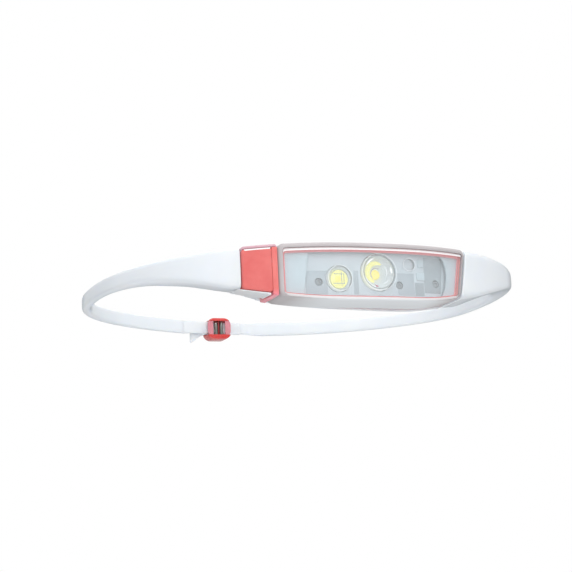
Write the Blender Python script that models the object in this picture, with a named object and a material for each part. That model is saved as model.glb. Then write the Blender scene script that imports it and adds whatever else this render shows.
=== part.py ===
"""Rechargeable headlamp: a silicone band, a light unit seated in its front and a two-pin buckle at the back.

The frame is +Z up, -Y to the front and +X to the wearer's left. The origin is the centre of the object's base.
Lengths in this file are millimetres until a mesh is made, which turns them into metres.
"""

import math

import bmesh
import bpy
from mathutils import Matrix, Vector

MM = 0.001

# The band in plan: two superellipses, the outer face and the face that meets the head.
PLAN_POWER = 2.3
RING_Y = 16.0
OUTER_HALF_WIDTH = 97.25
STRAP_THICKNESS = 4.0
INNER_HALF_WIDTH = OUTER_HALF_WIDTH - STRAP_THICKNESS
FRONT_REACH = 104.0
PAD_REACH = 80.5
REAR_REACH = 70.0

# Heights. The band's lower edge rises from the light unit to the sides, and its upper edge falls a little.
UNIT_TOP = 23.5
SIDE_LOW = 16.2
SIDE_HIGH = 22.4
REAR_LOW = 14.2
REAR_HIGH = 20.8
EDGE_CHAMFER = 1.2
FLAT_HALF = 7.5
RISE_POWER = 1.4

# The band's underside climbs or dips from its outer face to the head: (x, how much higher it is at the head).
LIFTS = (
    (-90.0, 0.0), (-76.0, 1.0), (-68.0, 2.2), (-57.0, 2.9), (-52.0, 3.3), (-45.0, 2.3), (-40.0, 1.7), (-35.0, 1.3),
    (-24.0, 1.1), (-12.0, 0.6), (0.0, 0.2), (10.0, 0.0), (38.0, 0.0), (44.0, -0.6), (49.0, -1.0), (54.0, -0.2),
    (60.0, 0.9), (68.0, 1.3), (78.0, 1.2), (90.0, 0.0),
)

# The strap's two thin layers inside the buckle.
LAYER = 2.0
LAP_GAP = 0.3

# The light unit's right end leans: its foot is further in than its head.
LEAN = 4.6
LEAN_START = 18.0
LEAN_END = 80.0

# The light unit, from its button at the left to its right end.
# LIP is the sleeve's lip: left, low, high, right.
UNIT_LEFT = -41.0
UNIT_RIGHT = 41.2
BUTTON_LEFT = -54.0
SEAT_GAP = 0.3
SADDLE_WALL = 2.3
SLEEVE_WALL = 1.0
SLEEVE_DEPTH = 17.0
FIT = 0.15
SHELL_WALL = 0.9
SHELL_FLOOR = 1.6
NECK_INSET = 3.2
LIP = (2.7, 1.5, 2.9, 1.9)
BUTTON_DEPTH = 7.2
LEDGE_DEPTH = 10.6
CORNER = 2.4

# Optics, as (x, z) centres and radii.
SPOT = (-0.3, 11.8, 7.6)
FLOOD = (-16.5, 9.4, 5.3)
RED = (14.2, 15.5, 2.7)
SIDE_CHIP = (18.2, 11.4, 1.7)
SCREWS = ((-24.4, 8.3), (9.7, 7.3), (27.0, 8.6))
PANEL_DEPTH = 5.2
BOARD_FRONT = -77.6
BOARD_THICKNESS = 1.0

# The switch under the button and the charging socket in the case's back.
SWITCH = (-47.5, 14.5)
SOCKET = (31.3, 12.0)

# The buckle.
BUCKLE_X = -15.8
BUCKLE_HALF = 6.4
BUCKLE_LOW, BUCKLE_HIGH = 11.6, 22.5
WELL_HALF = 4.5
BUCKLE_FRONT, BUCKLE_BACK = 78.5, 88.0
SLOT_LOW, SLOT_HIGH = 13.9, 21.0
PIN_RADIUS = 0.9
PIN_OFFSET = 1.45
PIN_Y = 80.25
PIN_SINK = 1.2


def clear_scene():
    for found in list(bpy.data.objects):
        bpy.data.objects.remove(found, do_unlink=True)


def material(name, colour, roughness, metallic=0.0):
    made = bpy.data.materials.new(name)
    made.use_nodes = True
    shader = made.node_tree.nodes["Principled BSDF"]
    shader.inputs["Base Color"].default_value = (*colour, 1.0)
    shader.inputs["Roughness"].default_value = roughness
    shader.inputs["Metallic"].default_value = metallic
    return made


def palette():
    return {
        "silicone": material("clear_silicone", (0.86, 0.89, 0.92), 0.35),
        "sleeve": material("grey_tpu", (0.38, 0.36, 0.36), 0.4),
        "coral": material("coral_polycarbonate", (0.80, 0.16, 0.14), 0.3),
        "seal": material("coral_silicone", (0.80, 0.16, 0.14), 0.5),
        "clear": material("clear_polycarbonate", (0.85, 0.90, 0.93), 0.08),
        "liner": material("pale_liner", (0.58, 0.68, 0.73), 0.4),
        "panel": material("silver_panel", (0.45, 0.52, 0.57), 0.35),
        "board": material("circuit_board", (0.02, 0.16, 0.09), 0.5),
        "phosphor": material("led_phosphor", (0.95, 0.85, 0.12), 0.4),
        "red_lens": material("red_led_epoxy", (0.75, 0.62, 0.62), 0.2),
        "steel": material("stainless_steel", (0.50, 0.50, 0.48), 0.25, 1.0),
        "foil": material("battery_foil", (0.62, 0.63, 0.65), 0.35, 1.0),
        "black": material("black_nylon", (0.02, 0.02, 0.02), 0.5),
        "foam": material("foam", (0.05, 0.05, 0.06), 0.9),
        "wire_red": material("red_wire", (0.6, 0.02, 0.02), 0.4),
        "wire_black": material("black_wire", (0.02, 0.02, 0.02), 0.4),
    }


def add_object(name, mesh, paint):
    made = bpy.data.objects.new(name, mesh)
    bpy.context.scene.collection.objects.link(made)
    mesh.materials.append(paint)
    mesh.shade_smooth()
    mesh.set_sharp_from_angle(angle=math.radians(32))
    return made


def finish_bmesh(name, form, paint):
    bmesh.ops.recalc_face_normals(form, faces=form.faces)
    mesh = bpy.data.meshes.new(name)
    form.to_mesh(mesh)
    form.free()
    return add_object(name, mesh, paint)


# ---- the shape of the band in plan and in height

def reach(x, half_width, depth):
    """Distance from the ring's centre line to a superellipse at x."""
    share = min(abs(x) / half_width, 1.0)
    return depth * (1.0 - share**PLAN_POWER) ** (1.0 / PLAN_POWER)


def front_y(x):
    return RING_Y - reach(x, OUTER_HALF_WIDTH, FRONT_REACH)


def pad_y(x):
    return RING_Y - reach(x, INNER_HALF_WIDTH, PAD_REACH)


def rear_y(x):
    return RING_Y + reach(x, OUTER_HALF_WIDTH, REAR_REACH)


def rise(x):
    """0 under the flat middle of the light unit and 1 at the side of the head."""
    share = min(max(abs(x) - FLAT_HALF, 0.0) / (OUTER_HALF_WIDTH - FLAT_HALF), 1.0)
    return math.sin(math.pi / 2 * share**RISE_POWER) ** 2


def low_z(x):
    return SIDE_LOW * rise(x)


def top_z(x):
    return UNIT_TOP - (UNIT_TOP - SIDE_HIGH) * rise(x)


def smooth(share):
    share = min(max(share, 0.0), 1.0)
    return share * share * (3 - 2 * share)


def leaned(point):
    """Moves a point of the right half inwards along the front curve, the more the lower it is."""
    if point.x <= LEAN_START or point.x >= LEAN_END or point.y > RING_Y:
        return point
    share = smooth((point.x - LEAN_START) / (UNIT_RIGHT - LEAN_START))
    share *= 1 - smooth((point.x - UNIT_RIGHT) / (LEAN_END - UNIT_RIGHT))
    x = point.x - LEAN * share * (1 - point.z / UNIT_TOP)
    return Vector((x, point.y + front_y(x) - front_y(point.x), point.z))


def inner_of(x):
    """The point of the head-side face across from the outer face at x: straight behind it at the light unit."""
    drawn_in = smooth((abs(x) + BUTTON_LEFT) / (OUTER_HALF_WIDTH + BUTTON_LEFT))
    inner_x = x * (1 - (STRAP_THICKNESS / OUTER_HALF_WIDTH) * drawn_in)
    return Vector((inner_x, pad_y(inner_x)))


# ---- solids made of stacked loops

def columns(x0, x1, low, high, corner=CORNER, count=13):
    """(x, lowest z, highest z) across a round-cornered outline. low and high are insets from the unit's edges."""
    steps = [0.0, 0.12 * corner, 0.4 * corner, corner]
    inner = [x0 + corner + (x1 - x0 - 2 * corner) * i / (count - 1) for i in range(1, count - 1)]
    xs = [x0 + s for s in steps] + inner + [x1 - s for s in reversed(steps)]
    found = []
    for x in xs:
        edge = min(x - x0, x1 - x, corner)
        rounding = corner - math.sqrt(corner**2 - (corner - edge) ** 2)
        found.append((x, low_z(x) + low + rounding, top_z(x) - high - rounding))
    return found


def loop(outline, depth):
    """The outline's points at a depth behind the front face: along its lower edge, then back along its upper."""
    def y_at(x):
        return depth(x) if callable(depth) else front_y(x) + depth

    lower = [Vector((x, y_at(x), low)) for x, low, _ in outline]
    upper = [Vector((x, y_at(x), high)) for x, _, high in outline]
    return lower + upper[::-1]


def stacked(name, loops, paint, ring=False):
    """Skins the loops in order. A ring joins the last to the first; otherwise both ends are filled."""
    form = bmesh.new()
    rows = [[form.verts.new(leaned(p) * MM) for p in points] for points in loops]
    count = len(rows[0])
    pairs = list(zip(rows, rows[1:]))
    if ring:
        pairs.append((rows[-1], rows[0]))
    for first, second in pairs:
        for i in range(count):
            j = (i + 1) % count
            form.faces.new((first[i], first[j], second[j], second[i]))
    if not ring:
        for row in (rows[0], rows[-1]):
            for i in range(count // 2 - 1):
                form.faces.new((row[i], row[i + 1], row[count - 2 - i], row[count - 1 - i]))
    return finish_bmesh(name, form, paint)


# ---- solids made of primitives

def box(name, low, high, paint, bevel=0.0):
    form = bmesh.new()
    bmesh.ops.create_cube(form, size=1.0)
    size = Vector(high) - Vector(low)
    centre = (Vector(high) + Vector(low)) / 2
    bmesh.ops.scale(form, vec=size * MM, verts=form.verts)
    if bevel:
        bmesh.ops.bevel(
            form, geom=list(form.edges), offset=bevel * MM, segments=1, profile=0.5,
            affect="EDGES", material=-1,
        )
    bmesh.ops.translate(form, vec=centre * MM, verts=form.verts)
    return finish_bmesh(name, form, paint)


def turned(name, profile, origin, direction, paint, sides=24):
    """A closed solid turned about a line: profile is (distance along, radius), and its ends lie on the axis."""
    form = bmesh.new()
    points = [form.verts.new((radius * MM, 0, along * MM)) for along, radius in profile]
    edges = [form.edges.new(pair) for pair in zip(points, points[1:])]
    bmesh.ops.spin(
        form, geom=points + edges, cent=(0, 0, 0), axis=(0, 0, 1), angle=2 * math.pi, steps=sides,
        use_merge=True,
    )
    bmesh.ops.remove_doubles(form, verts=form.verts, dist=1e-6)
    turn = Vector(direction).to_track_quat("Z", "Y").to_matrix().to_4x4()
    bmesh.ops.transform(form, matrix=Matrix.Translation(Vector(origin) * MM) @ turn, verts=form.verts)
    return finish_bmesh(name, form, paint)


def rod(name, origin, direction, length, radius, paint, sides=24, chamfer=0.0):
    profile = [(0, 0), (0, radius - chamfer)]
    if chamfer:
        profile += [(chamfer, radius), (length - chamfer, radius)]
    profile += [(length, radius - chamfer), (length, 0)]
    return turned(name, profile, origin, direction, paint, sides)


def boolean(target, other, operation):
    other.hide_render = True
    other.display_type = "WIRE"
    step = target.modifiers.new(operation.lower(), "BOOLEAN")
    step.operation = operation
    step.object = other
    step.solver = "EXACT"


# ---- the silicone band

def wing_lift(x):
    """How much higher the underside is at the head than in front."""
    for (left, low), (right, high) in zip(LIFTS, LIFTS[1:]):
        if left <= x <= right:
            return low + (high - low) * (x - left) / (right - left)
    return 0.0


def section(outer, inner, low, high, lift=0.0):
    """Eight points of the band's chamfered section, between a point of its outer face and one of its inner face."""
    across = inner - outer
    thickness = across.length
    corner = min(EDGE_CHAMFER, 0.3 * thickness)
    step = across.normalized() * corner
    near, far = outer + step, inner - step
    corners = (
        (outer, low + corner), (outer, high - corner), (near, high), (far, high),
        (inner, high - corner), (inner, low + lift + corner), (far, low + lift), (near, low),
    )
    return [Vector((p.x, p.y, z)) for p, z in corners]


def rear_heights(x):
    """The strap's lower and upper edge behind the ears, by how far round the back it is."""
    share = smooth(1.0 - abs(x) / OUTER_HALF_WIDTH)
    return SIDE_LOW + (REAR_LOW - SIDE_LOW) * share, SIDE_HIGH + (REAR_HIGH - SIDE_HIGH) * share


def rear_points(angle, side):
    """Outer and inner points of the back half. The angle is 0 in the middle and 90 degrees at the side."""
    power = 2 / PLAN_POWER
    across, along = math.sin(angle) ** power, math.cos(angle) ** power
    outer = Vector((side * OUTER_HALF_WIDTH * across, RING_Y + REAR_REACH * along))
    inner = Vector((side * INNER_HALF_WIDTH * across, RING_Y + (REAR_REACH - STRAP_THICKNESS) * along))
    return outer, inner


def fixed_end():
    """The left strap's thin end, the inner layer in the buckle, from its tip to the left."""
    found = []
    for x, share in ((-3.6, 0), (-10, 0), (-17, 0), (-24, 0), (-28, 0), (-31, 0.3), (-35, 1)):
        low, high = rear_heights(x)
        inner = Vector((x, rear_y(x) - STRAP_THICKNESS))
        thick = LAYER - LAP_GAP + (STRAP_THICKNESS - LAYER + LAP_GAP) * share
        trim = 0.2 * (1 - share)
        found.append(section(inner + Vector((0, thick)), inner, low + trim, high - trim))
    return found


def free_end():
    """The right strap's thin end, the outer layer in the buckle, which hangs out of it as a short tail."""
    # x, how thick it still is (1 is whole), middle height, half its width, how far it peels outwards
    stations = (
        (10, 1.0, 17.5, 3.3, 0), (6, 0.6, 17.55, 3.2, 0), (2, 0.0, 17.7, 2.9, 0), (-3, 0, 17.8, 2.6, 0),
        (-9, 0, 17.8, 2.5, 0), (-16, 0, 17.4, 2.5, 0), (-23.5, 0, 16.7, 2.4, 0), (-26, 0, 15.4, 2.5, 0.3),
        (-28.6, 0, 13.5, 2.6, 0.9), (-31.2, 0, 12.2, 2.6, 1.6),
    )
    found = []
    for x, whole, middle, half, peel in stations:
        outer = Vector((x, rear_y(x) + peel))
        thick = LAYER + (STRAP_THICKNESS - LAYER) * whole
        found.append(section(outer, outer - Vector((0, thick)), middle - half, middle + half))
    return found


def band_sections():
    """Every section of the band, from the fixed end round the left side, the front and the right to the tail."""
    found = fixed_end()
    start = math.asin((39 / OUTER_HALF_WIDTH) ** (PLAN_POWER / 2))
    turns = 13
    for i in range(turns):
        angle = start + (math.pi / 2 - start) * i / turns
        outer, inner = rear_points(angle, -1)
        found.append(section(outer, inner, *rear_heights(outer.x)))
    flank = [OUTER_HALF_WIDTH * math.cos(math.radians(a)) ** (2 / PLAN_POWER) for a in range(0, 60, 4)]
    flank = [x for x in flank if x > -BUTTON_LEFT + 3]
    for x in [-x for x in flank] + [BUTTON_LEFT - SEAT_GAP]:
        found.append(section(Vector((x, front_y(x))), inner_of(x), low_z(x), top_z(x), wing_lift(x)))
    for x in (BUTTON_LEFT, -50, -46, UNIT_LEFT - 2 * SEAT_GAP):
        shelf = Vector((x, front_y(x) + LEDGE_DEPTH))
        lift = wing_lift(x)
        start = lift * LEDGE_DEPTH / (pad_y(x) - front_y(x))
        found.append(section(shelf, inner_of(x), low_z(x) + start, top_z(x), lift - start))
    saddle = [UNIT_LEFT - SEAT_GAP] + [-36 + 8 * i for i in range(10)] + [UNIT_RIGHT + SEAT_GAP]
    for x in saddle:
        back = inner_of(x)
        front = back - Vector((0, SADDLE_WALL))
        found.append(section(front, back, low_z(x), top_z(x), wing_lift(x)))
    wing = [UNIT_RIGHT + 2 * SEAT_GAP, 46, 52] + flank[::-1]
    for x in wing:
        found.append(section(Vector((x, front_y(x))), inner_of(x), low_z(x), top_z(x), wing_lift(x)))
    start = math.asin((14 / OUTER_HALF_WIDTH) ** (PLAN_POWER / 2))
    for i in range(1, turns + 3):
        angle = math.pi / 2 - (math.pi / 2 - start) * i / (turns + 2)
        outer, inner = rear_points(angle, 1)
        found.append(section(outer, inner, *rear_heights(outer.x)))
    return found + free_end()


def make_band(paints):
    form = bmesh.new()
    rows = [[form.verts.new(leaned(p) * MM) for p in points] for points in band_sections()]
    for first, second in zip(rows, rows[1:]):
        for i in range(8):
            j = (i + 1) % 8
            form.faces.new((first[i], first[j], second[j], second[i]))
    form.faces.new(rows[0])
    form.faces.new(rows[-1])
    return finish_bmesh("head_band", form, paints["silicone"])


# ---- the light unit's case

def unit_outline(inset_x, low, high, right=None, corner=CORNER):
    end = inset_x if right is None else right
    return columns(UNIT_LEFT + inset_x, UNIT_RIGHT - end, low, high, corner)


def shell_back(x):
    return pad_y(x) - SADDLE_WALL - SEAT_GAP


def neck_outline(inset):
    """The shelf's neck, which runs from the case through the sleeve's left wall to the switch."""
    return columns(UNIT_LEFT - 1.0, UNIT_LEFT + 2.4, inset, inset, corner=0.8, count=4)


def make_sleeve(paints):
    """The grey rubber sleeve round the case, with the lip that frames the window."""
    wall = SLEEVE_WALL
    lip = unit_outline(*LIP)
    loops = [
        loop(unit_outline(1.0, 1.3, 1.6), 0.0),
        loop(unit_outline(0.3, 0.4, 0.5), 0.6),
        loop(unit_outline(0.0, 0.0, 0.0), 1.8),
        loop(unit_outline(0.0, 0.0, 0.0), SLEEVE_DEPTH),
        loop(unit_outline(wall, wall, wall, corner=1.4), SLEEVE_DEPTH),
        loop(unit_outline(wall, wall, wall, corner=1.4), 1.2),
        loop(lip, 1.2),
        loop(lip, 0.0),
    ]
    sleeve = stacked("case_sleeve", loops, paints["sleeve"], ring=True)
    doorway = stacked(
        "sleeve_doorway",
        [loop(neck_outline(NECK_INSET - 0.3), 7.7), loop(neck_outline(NECK_INSET - 0.3), SLEEVE_DEPTH + 3)],
        paints["sleeve"],
    )
    boolean(sleeve, doorway, "DIFFERENCE")


def make_case(paints):
    """The coral case: a tray with a back flange, a shelf at its left for the switch, and a socket opening."""
    outer = SLEEVE_WALL + FIT
    rim = outer + SHELL_WALL
    loops = [
        loop(unit_outline(rim, rim, rim, corner=1.2), lambda x: shell_back(x) - SHELL_FLOOR),
        loop(unit_outline(rim, rim, rim, corner=1.2), 1.35),
        loop(unit_outline(outer, outer, outer, corner=1.4), 1.35),
        loop(unit_outline(outer, outer, outer, corner=1.4), SLEEVE_DEPTH + FIT),
        loop(unit_outline(0.3, 0.3, 0.3), SLEEVE_DEPTH + FIT),
        loop(unit_outline(1.0, 1.0, 1.0), shell_back),
    ]
    case = stacked("case_shell", loops, paints["coral"])
    outline = columns(BUTTON_LEFT + 0.2, UNIT_LEFT - 0.3, 0.5, 0.5, corner=1.0, count=7)
    shelf = stacked("case_shelf", [loop(outline, 8.2), loop(outline, 10.2)], paints["coral"])
    outline = neck_outline(NECK_INSET)
    neck = stacked("case_neck", [loop(outline, 8.2), loop(outline, 10.2)], paints["coral"])
    x, z = SWITCH
    boss = box("switch_boss", (x - 2.8, -71.9, z - 2.8), (x + 2.8, front_y(x) + 9.2, z + 2.8), paints["coral"])
    x, z = SOCKET
    opening = box("socket_opening", (x - 1.9, -75, z - 4.8), (x + 1.9, -60, z + 4.8), paints["coral"], bevel=0.9)
    boolean(case, neck, "UNION")
    boolean(case, shelf, "UNION")
    boolean(case, boss, "UNION")
    boolean(case, opening, "DIFFERENCE")


def window_inset():
    return SLEEVE_WALL + SHELL_WALL + 2 * FIT


def make_window(paints):
    """The window, whose front stands in the sleeve's lip and whose wider back is held behind it."""
    edge = window_inset()

    def in_lip(inset):
        left, low, high, right = (max(side + FIT, edge) + inset for side in LIP)
        return unit_outline(left, low, high, right)

    outline = unit_outline(edge, edge, edge, corner=1.1)
    front = [loop(in_lip(0.4), 0.5), loop(in_lip(0.05), 0.8), loop(in_lip(0.05), 1.4)]
    stacked("window_lens", front + [loop(outline, 1.4), loop(outline, 2.1)], paints["clear"])


def make_seal(paints):
    edge = window_inset()
    outer = unit_outline(edge, edge, edge, corner=1.1)
    inner = unit_outline(edge + 1.2, edge + 1.0, edge + 1.0, corner=1.1)
    loops = [loop(outer, 2.25), loop(outer, 2.95), loop(inner, 2.95), loop(inner, 2.25)]
    stacked("window_seal", loops, paints["seal"], ring=True)


def make_liner(paints):
    edge = window_inset()
    outer = unit_outline(edge, edge, edge, corner=1.1)
    inner = unit_outline(-30.0 - UNIT_LEFT, edge + 0.4, edge + 0.7, right=UNIT_RIGHT - 31.6, corner=1.6)
    loops = [loop(outer, 3.1), loop(outer, 5.0), loop(inner, 5.0), loop(inner, 3.1)]
    stacked("light_liner", loops, paints["liner"], ring=True)


def make_panel(paints):
    """The silver panel that the lenses, the red LED, the side chip and the screws come through."""
    edge = window_inset()
    outline = unit_outline(edge + 2.5, edge, edge, corner=1.1)
    panel = stacked(
        "reflector_panel", [loop(outline, PANEL_DEPTH), loop(outline, PANEL_DEPTH + 0.8)], paints["panel"]
    )
    holes = [(x, z, radius + 0.25) for x, z, radius in (SPOT, FLOOD, RED)]
    holes += [(x, z, 1.05) for x, z in SCREWS]
    for number, (x, z, radius) in enumerate(holes):
        drill = rod(f"panel_drill_{number}", (x, -95, z), (0, 1, 0), 25, radius, paints["panel"], sides=32)
        boolean(panel, drill, "DIFFERENCE")
    x, z, half = SIDE_CHIP
    punch = half + 0.25
    square = box("panel_punch", (x - punch, -95, z - punch), (x + punch, -70, z + punch), paints["panel"])
    boolean(panel, square, "DIFFERENCE")


def make_board(paints):
    back = BOARD_FRONT + BOARD_THICKNESS
    board = box("circuit_board", (-33, BOARD_FRONT, 5.0), (33, back, 19.6), paints["board"])
    for number, (x, z) in enumerate(SCREWS):
        drill = rod(f"board_drill_{number}", (x, -80, z), (0, 1, 0), 6, 1.05, paints["board"], sides=16)
        boolean(board, drill, "DIFFERENCE")


def make_screws(paints):
    for number, (x, z) in enumerate(SCREWS, start=1):
        head_y = front_y(x) + PANEL_DEPTH - 1.15
        under_head = front_y(x) + PANEL_DEPTH - 0.25
        tip = BOARD_FRONT + BOARD_THICKNESS + 0.3
        profile = [
            (0.45, 0), (0.45, 0.75), (0, 0.75), (0, 1.3), (0.3, 1.6), (under_head - head_y, 1.6),
            (under_head - head_y, 0.8), (tip - head_y, 0.8), (tip - head_y, 0),
        ]
        turned(f"panel_screw_{number}", profile, (x, head_y, z), (0, 1, 0), paints["steel"], sides=16)


def make_optics(paints):
    """The emitters on the board, and the lenses in front of them."""
    x, z, radius = SPOT
    led_back = BOARD_FRONT - 0.1
    chip = [(0, 0), (0, 1.1), (0.5, 1.6), (0.7, 2.2), (0.7, 2.45), (1.5, 2.45), (1.5, 0)]
    turned("spot_led", chip, (x, led_back - 1.5, z), (0, 1, 0), paints["phosphor"], sides=16)
    lens = [
        (0, 0), (0.15, 2.2), (0.55, 4.4), (1.1, 6.2), (1.5, radius - 0.3), (2.0, radius), (3.0, radius),
        (4.6, radius - 1.7), (5.9, 4.0), (5.9, 2.9), (3.9, 2.6), (3.5, 0),
    ]
    turned("spot_lens", lens, (x, -85.3, z), (0, 1, 0), paints["clear"], sides=32)
    x, z, radius = FLOOD
    turned("flood_led", chip, (x, led_back - 1.5, z), (0, 1, 0), paints["phosphor"], sides=16)
    lens = [
        (0, 0), (0.25, 1.9), (0.9, 3.6), (1.7, radius - 0.7), (2.0, radius - 0.2), (2.2, radius),
        (3.0, radius), (4.9, 3.6), (4.9, 2.9), (3.1, 2.7), (2.7, 0),
    ]
    turned("flood_lens", lens, (x, -84.5, z), (0, 1, 0), paints["clear"], sides=28)
    x, z, radius = RED
    lens = [(0, 0), (0.2, 1.2), (0.8, 2.2), (1.7, radius), (6.4, radius), (6.4, 0)]
    turned("red_led", lens, (x, -84.1, z), (0, 1, 0), paints["red_lens"], sides=20)
    x, z, half = SIDE_CHIP
    box("side_led", (x - half, -82.4, z - half), (x + half, -77.8, z + half), paints["liner"], bevel=0.25)


def make_battery(paints):
    box("battery_cell", (-28, -75.7, 5.8), (27, -69.4, 19.2), paints["foil"], bevel=0.9)
    box("battery_pad", (-18, -76.4, 8.5), (22, -75.85, 16.5), paints["foam"])


def make_switch(paints):
    x, z = SWITCH
    base = box("switch_base", (x - 2.5, -74.9, z - 2.5), (x + 2.5, -72.1, z + 2.5), paints["black"], bevel=0.3)
    well = rod("switch_well", (x, -76, z), (0, 1, 0), 3.1, 1.4, paints["black"], sides=20)
    boolean(base, well, "DIFFERENCE")
    rod("switch_stem", (x, -76.2, z), (0, 1, 0), 2.2, 1.2, paints["black"], sides=20, chamfer=0.2)


def make_button(paints):
    def outline(inset, corner=1.6):
        right = UNIT_LEFT - 0.25 - inset
        return columns(BUTTON_LEFT + inset, right, 0.2 + inset, 0.2 + inset, corner, count=7)

    loops = [
        loop(outline(0.9), 0.0), loop(outline(0.25), 0.45), loop(outline(0.0), 1.3),
        loop(outline(0.0), BUTTON_DEPTH), loop(outline(1.3, 1.0), BUTTON_DEPTH), loop(outline(1.3, 1.0), 1.8),
    ]
    button = stacked("power_button", loops, paints["coral"])
    x, z = SWITCH
    inside = front_y(x) + 1.5
    plunger = rod("button_plunger", (x, inside, z), (0, 1, 0), -76.5 - inside, 1.6, paints["coral"], sides=20)
    boolean(button, plunger, "UNION")


def make_socket(paints):
    """The charging socket, opening to the back of the case, with its contact tongue."""
    x, z = SOCKET
    shell = box("charge_socket", (x - 1.6, -71.0, z - 4.5), (x + 1.6, -64.4, z + 4.5), paints["steel"], bevel=0.8)
    hollow = box("socket_hollow", (x - 1.3, -70.0, z - 4.2), (x + 1.3, -60.0, z + 4.2), paints["steel"], bevel=0.7)
    boolean(shell, hollow, "DIFFERENCE")
    box("socket_tongue", (x - 0.35, -69.7, z - 3.3), (x + 0.35, -65.2, z + 3.3), paints["black"])


def make_leads(paints):
    """Two short leads from the cell's left end, curving forward to the back of the board."""
    board_back = BOARD_FRONT + BOARD_THICKNESS
    for name, z in (("lead_positive", 14.2), ("lead_negative", 10.6)):
        ends = Vector((-28.4, -72.4, z)), Vector((-31.4, board_back + 0.3, z))
        data = bpy.data.curves.new(name, "CURVE")
        data.dimensions = "3D"
        data.bevel_depth = 0.45 * MM
        data.bevel_resolution = 2
        data.use_fill_caps = True
        route = data.splines.new("POLY")
        steps = 8
        route.points.add(steps)
        for i in range(steps + 1):
            turn = math.pi / 2 * i / steps
            x = ends[0].x + (ends[1].x - ends[0].x) * math.sin(turn)
            y = ends[1].y + (ends[0].y - ends[1].y) * math.cos(turn)
            route.points[i].co = (x * MM, y * MM, z * MM, 1)
        lead = bpy.data.objects.new(name, data)
        bpy.context.scene.collection.objects.link(lead)
        data.materials.append(paints["wire_red" if z > 12 else "wire_black"])


# ---- the buckle

def oval(half_x, low, high, corner, steps=4):
    """Points of a rounded rectangle in x and z about the buckle's middle."""
    found = []
    centres = (
        (half_x - corner, high - corner, 0), (-half_x + corner, high - corner, 90),
        (-half_x + corner, low + corner, 180), (half_x - corner, low + corner, 270),
    )
    for x, z, start in centres:
        for i in range(steps + 1):
            turn = math.radians(start + 90 * i / steps)
            found.append((BUCKLE_X + x + corner * math.cos(turn), z + corner * math.sin(turn)))
    return found


def oval_prism(name, rings, paint):
    """Rounded rectangles stacked along y: rings are (y, half_x, low, high, corner)."""
    form = bmesh.new()
    rows = []
    for y, half_x, low, high, corner in rings:
        rows.append([form.verts.new((x * MM, y * MM, z * MM)) for x, z in oval(half_x, low, high, corner)])
    for first, second in zip(rows, rows[1:]):
        for i, vert in enumerate(first):
            j = (i + 1) % len(first)
            form.faces.new((vert, first[j], second[j], second[i]))
    form.faces.new(rows[0])
    form.faces.new(rows[-1])
    return finish_bmesh(name, form, paint)


def make_buckle(paints):
    """A frame with rails above and below the strap and a bar behind it at each end, and two steel pins."""
    low, high, half = BUCKLE_LOW, BUCKLE_HIGH, BUCKLE_HALF
    frame = oval_prism(
        "buckle_frame",
        [
            (BUCKLE_FRONT, half - 0.8, low + 0.8, high - 0.8, 3.6),
            (BUCKLE_FRONT + 0.8, half, low, high, 4.2),
            (BUCKLE_BACK - 0.8, half, low, high, 4.2),
            (BUCKLE_BACK, half - 0.8, low + 0.8, high - 0.8, 3.6),
        ],
        paints["coral"],
    )
    well = box(
        "buckle_well", (BUCKLE_X - WELL_HALF, 70, SLOT_LOW), (BUCKLE_X + WELL_HALF, 95, SLOT_HIGH), paints["coral"]
    )
    channel = box("buckle_channel", (BUCKLE_X - 9, 70, SLOT_LOW), (BUCKLE_X + 9, 86.1, SLOT_HIGH), paints["coral"])
    boolean(frame, well, "DIFFERENCE")
    boolean(frame, channel, "DIFFERENCE")
    for number, offset in enumerate((-PIN_OFFSET, PIN_OFFSET), start=1):
        start = (BUCKLE_X + offset, PIN_Y, SLOT_LOW - PIN_SINK)
        length = SLOT_HIGH - SLOT_LOW + 2 * PIN_SINK
        rod(f"buckle_pin_{number}", start, (0, 0, 1), length, PIN_RADIUS, paints["steel"], 20, chamfer=0.2)
        seat = rod(
            f"pin_seat_{number}", (start[0], start[1], start[2] - 0.3), (0, 0, 1), length + 0.6,
            PIN_RADIUS + FIT, paints["steel"], 20,
        )
        boolean(frame, seat, "DIFFERENCE")


def main():
    clear_scene()
    paints = palette()
    make_band(paints)
    make_sleeve(paints)
    make_case(paints)
    make_window(paints)
    make_seal(paints)
    make_liner(paints)
    make_panel(paints)
    make_board(paints)
    make_screws(paints)
    make_optics(paints)
    make_battery(paints)
    make_switch(paints)
    make_button(paints)
    make_socket(paints)
    make_leads(paints)
    make_buckle(paints)


main()
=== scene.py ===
"""Looks of a rechargeable headlamp: a milky silicone band, a slim light unit in front and a buckle behind.

Lengths are millimetres until a mesh is finished, which turns them into metres. The frame is the CAD model's
own: +Z up, -Y out of the light unit, +X to the wearer's left, and the origin under the middle of the band.
"""

import logging
import math
from dataclasses import dataclass, field
from enum import Enum
from typing import Callable, Iterable, Sequence

import bmesh
import bpy
from mathutils import Matrix, Vector


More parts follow.
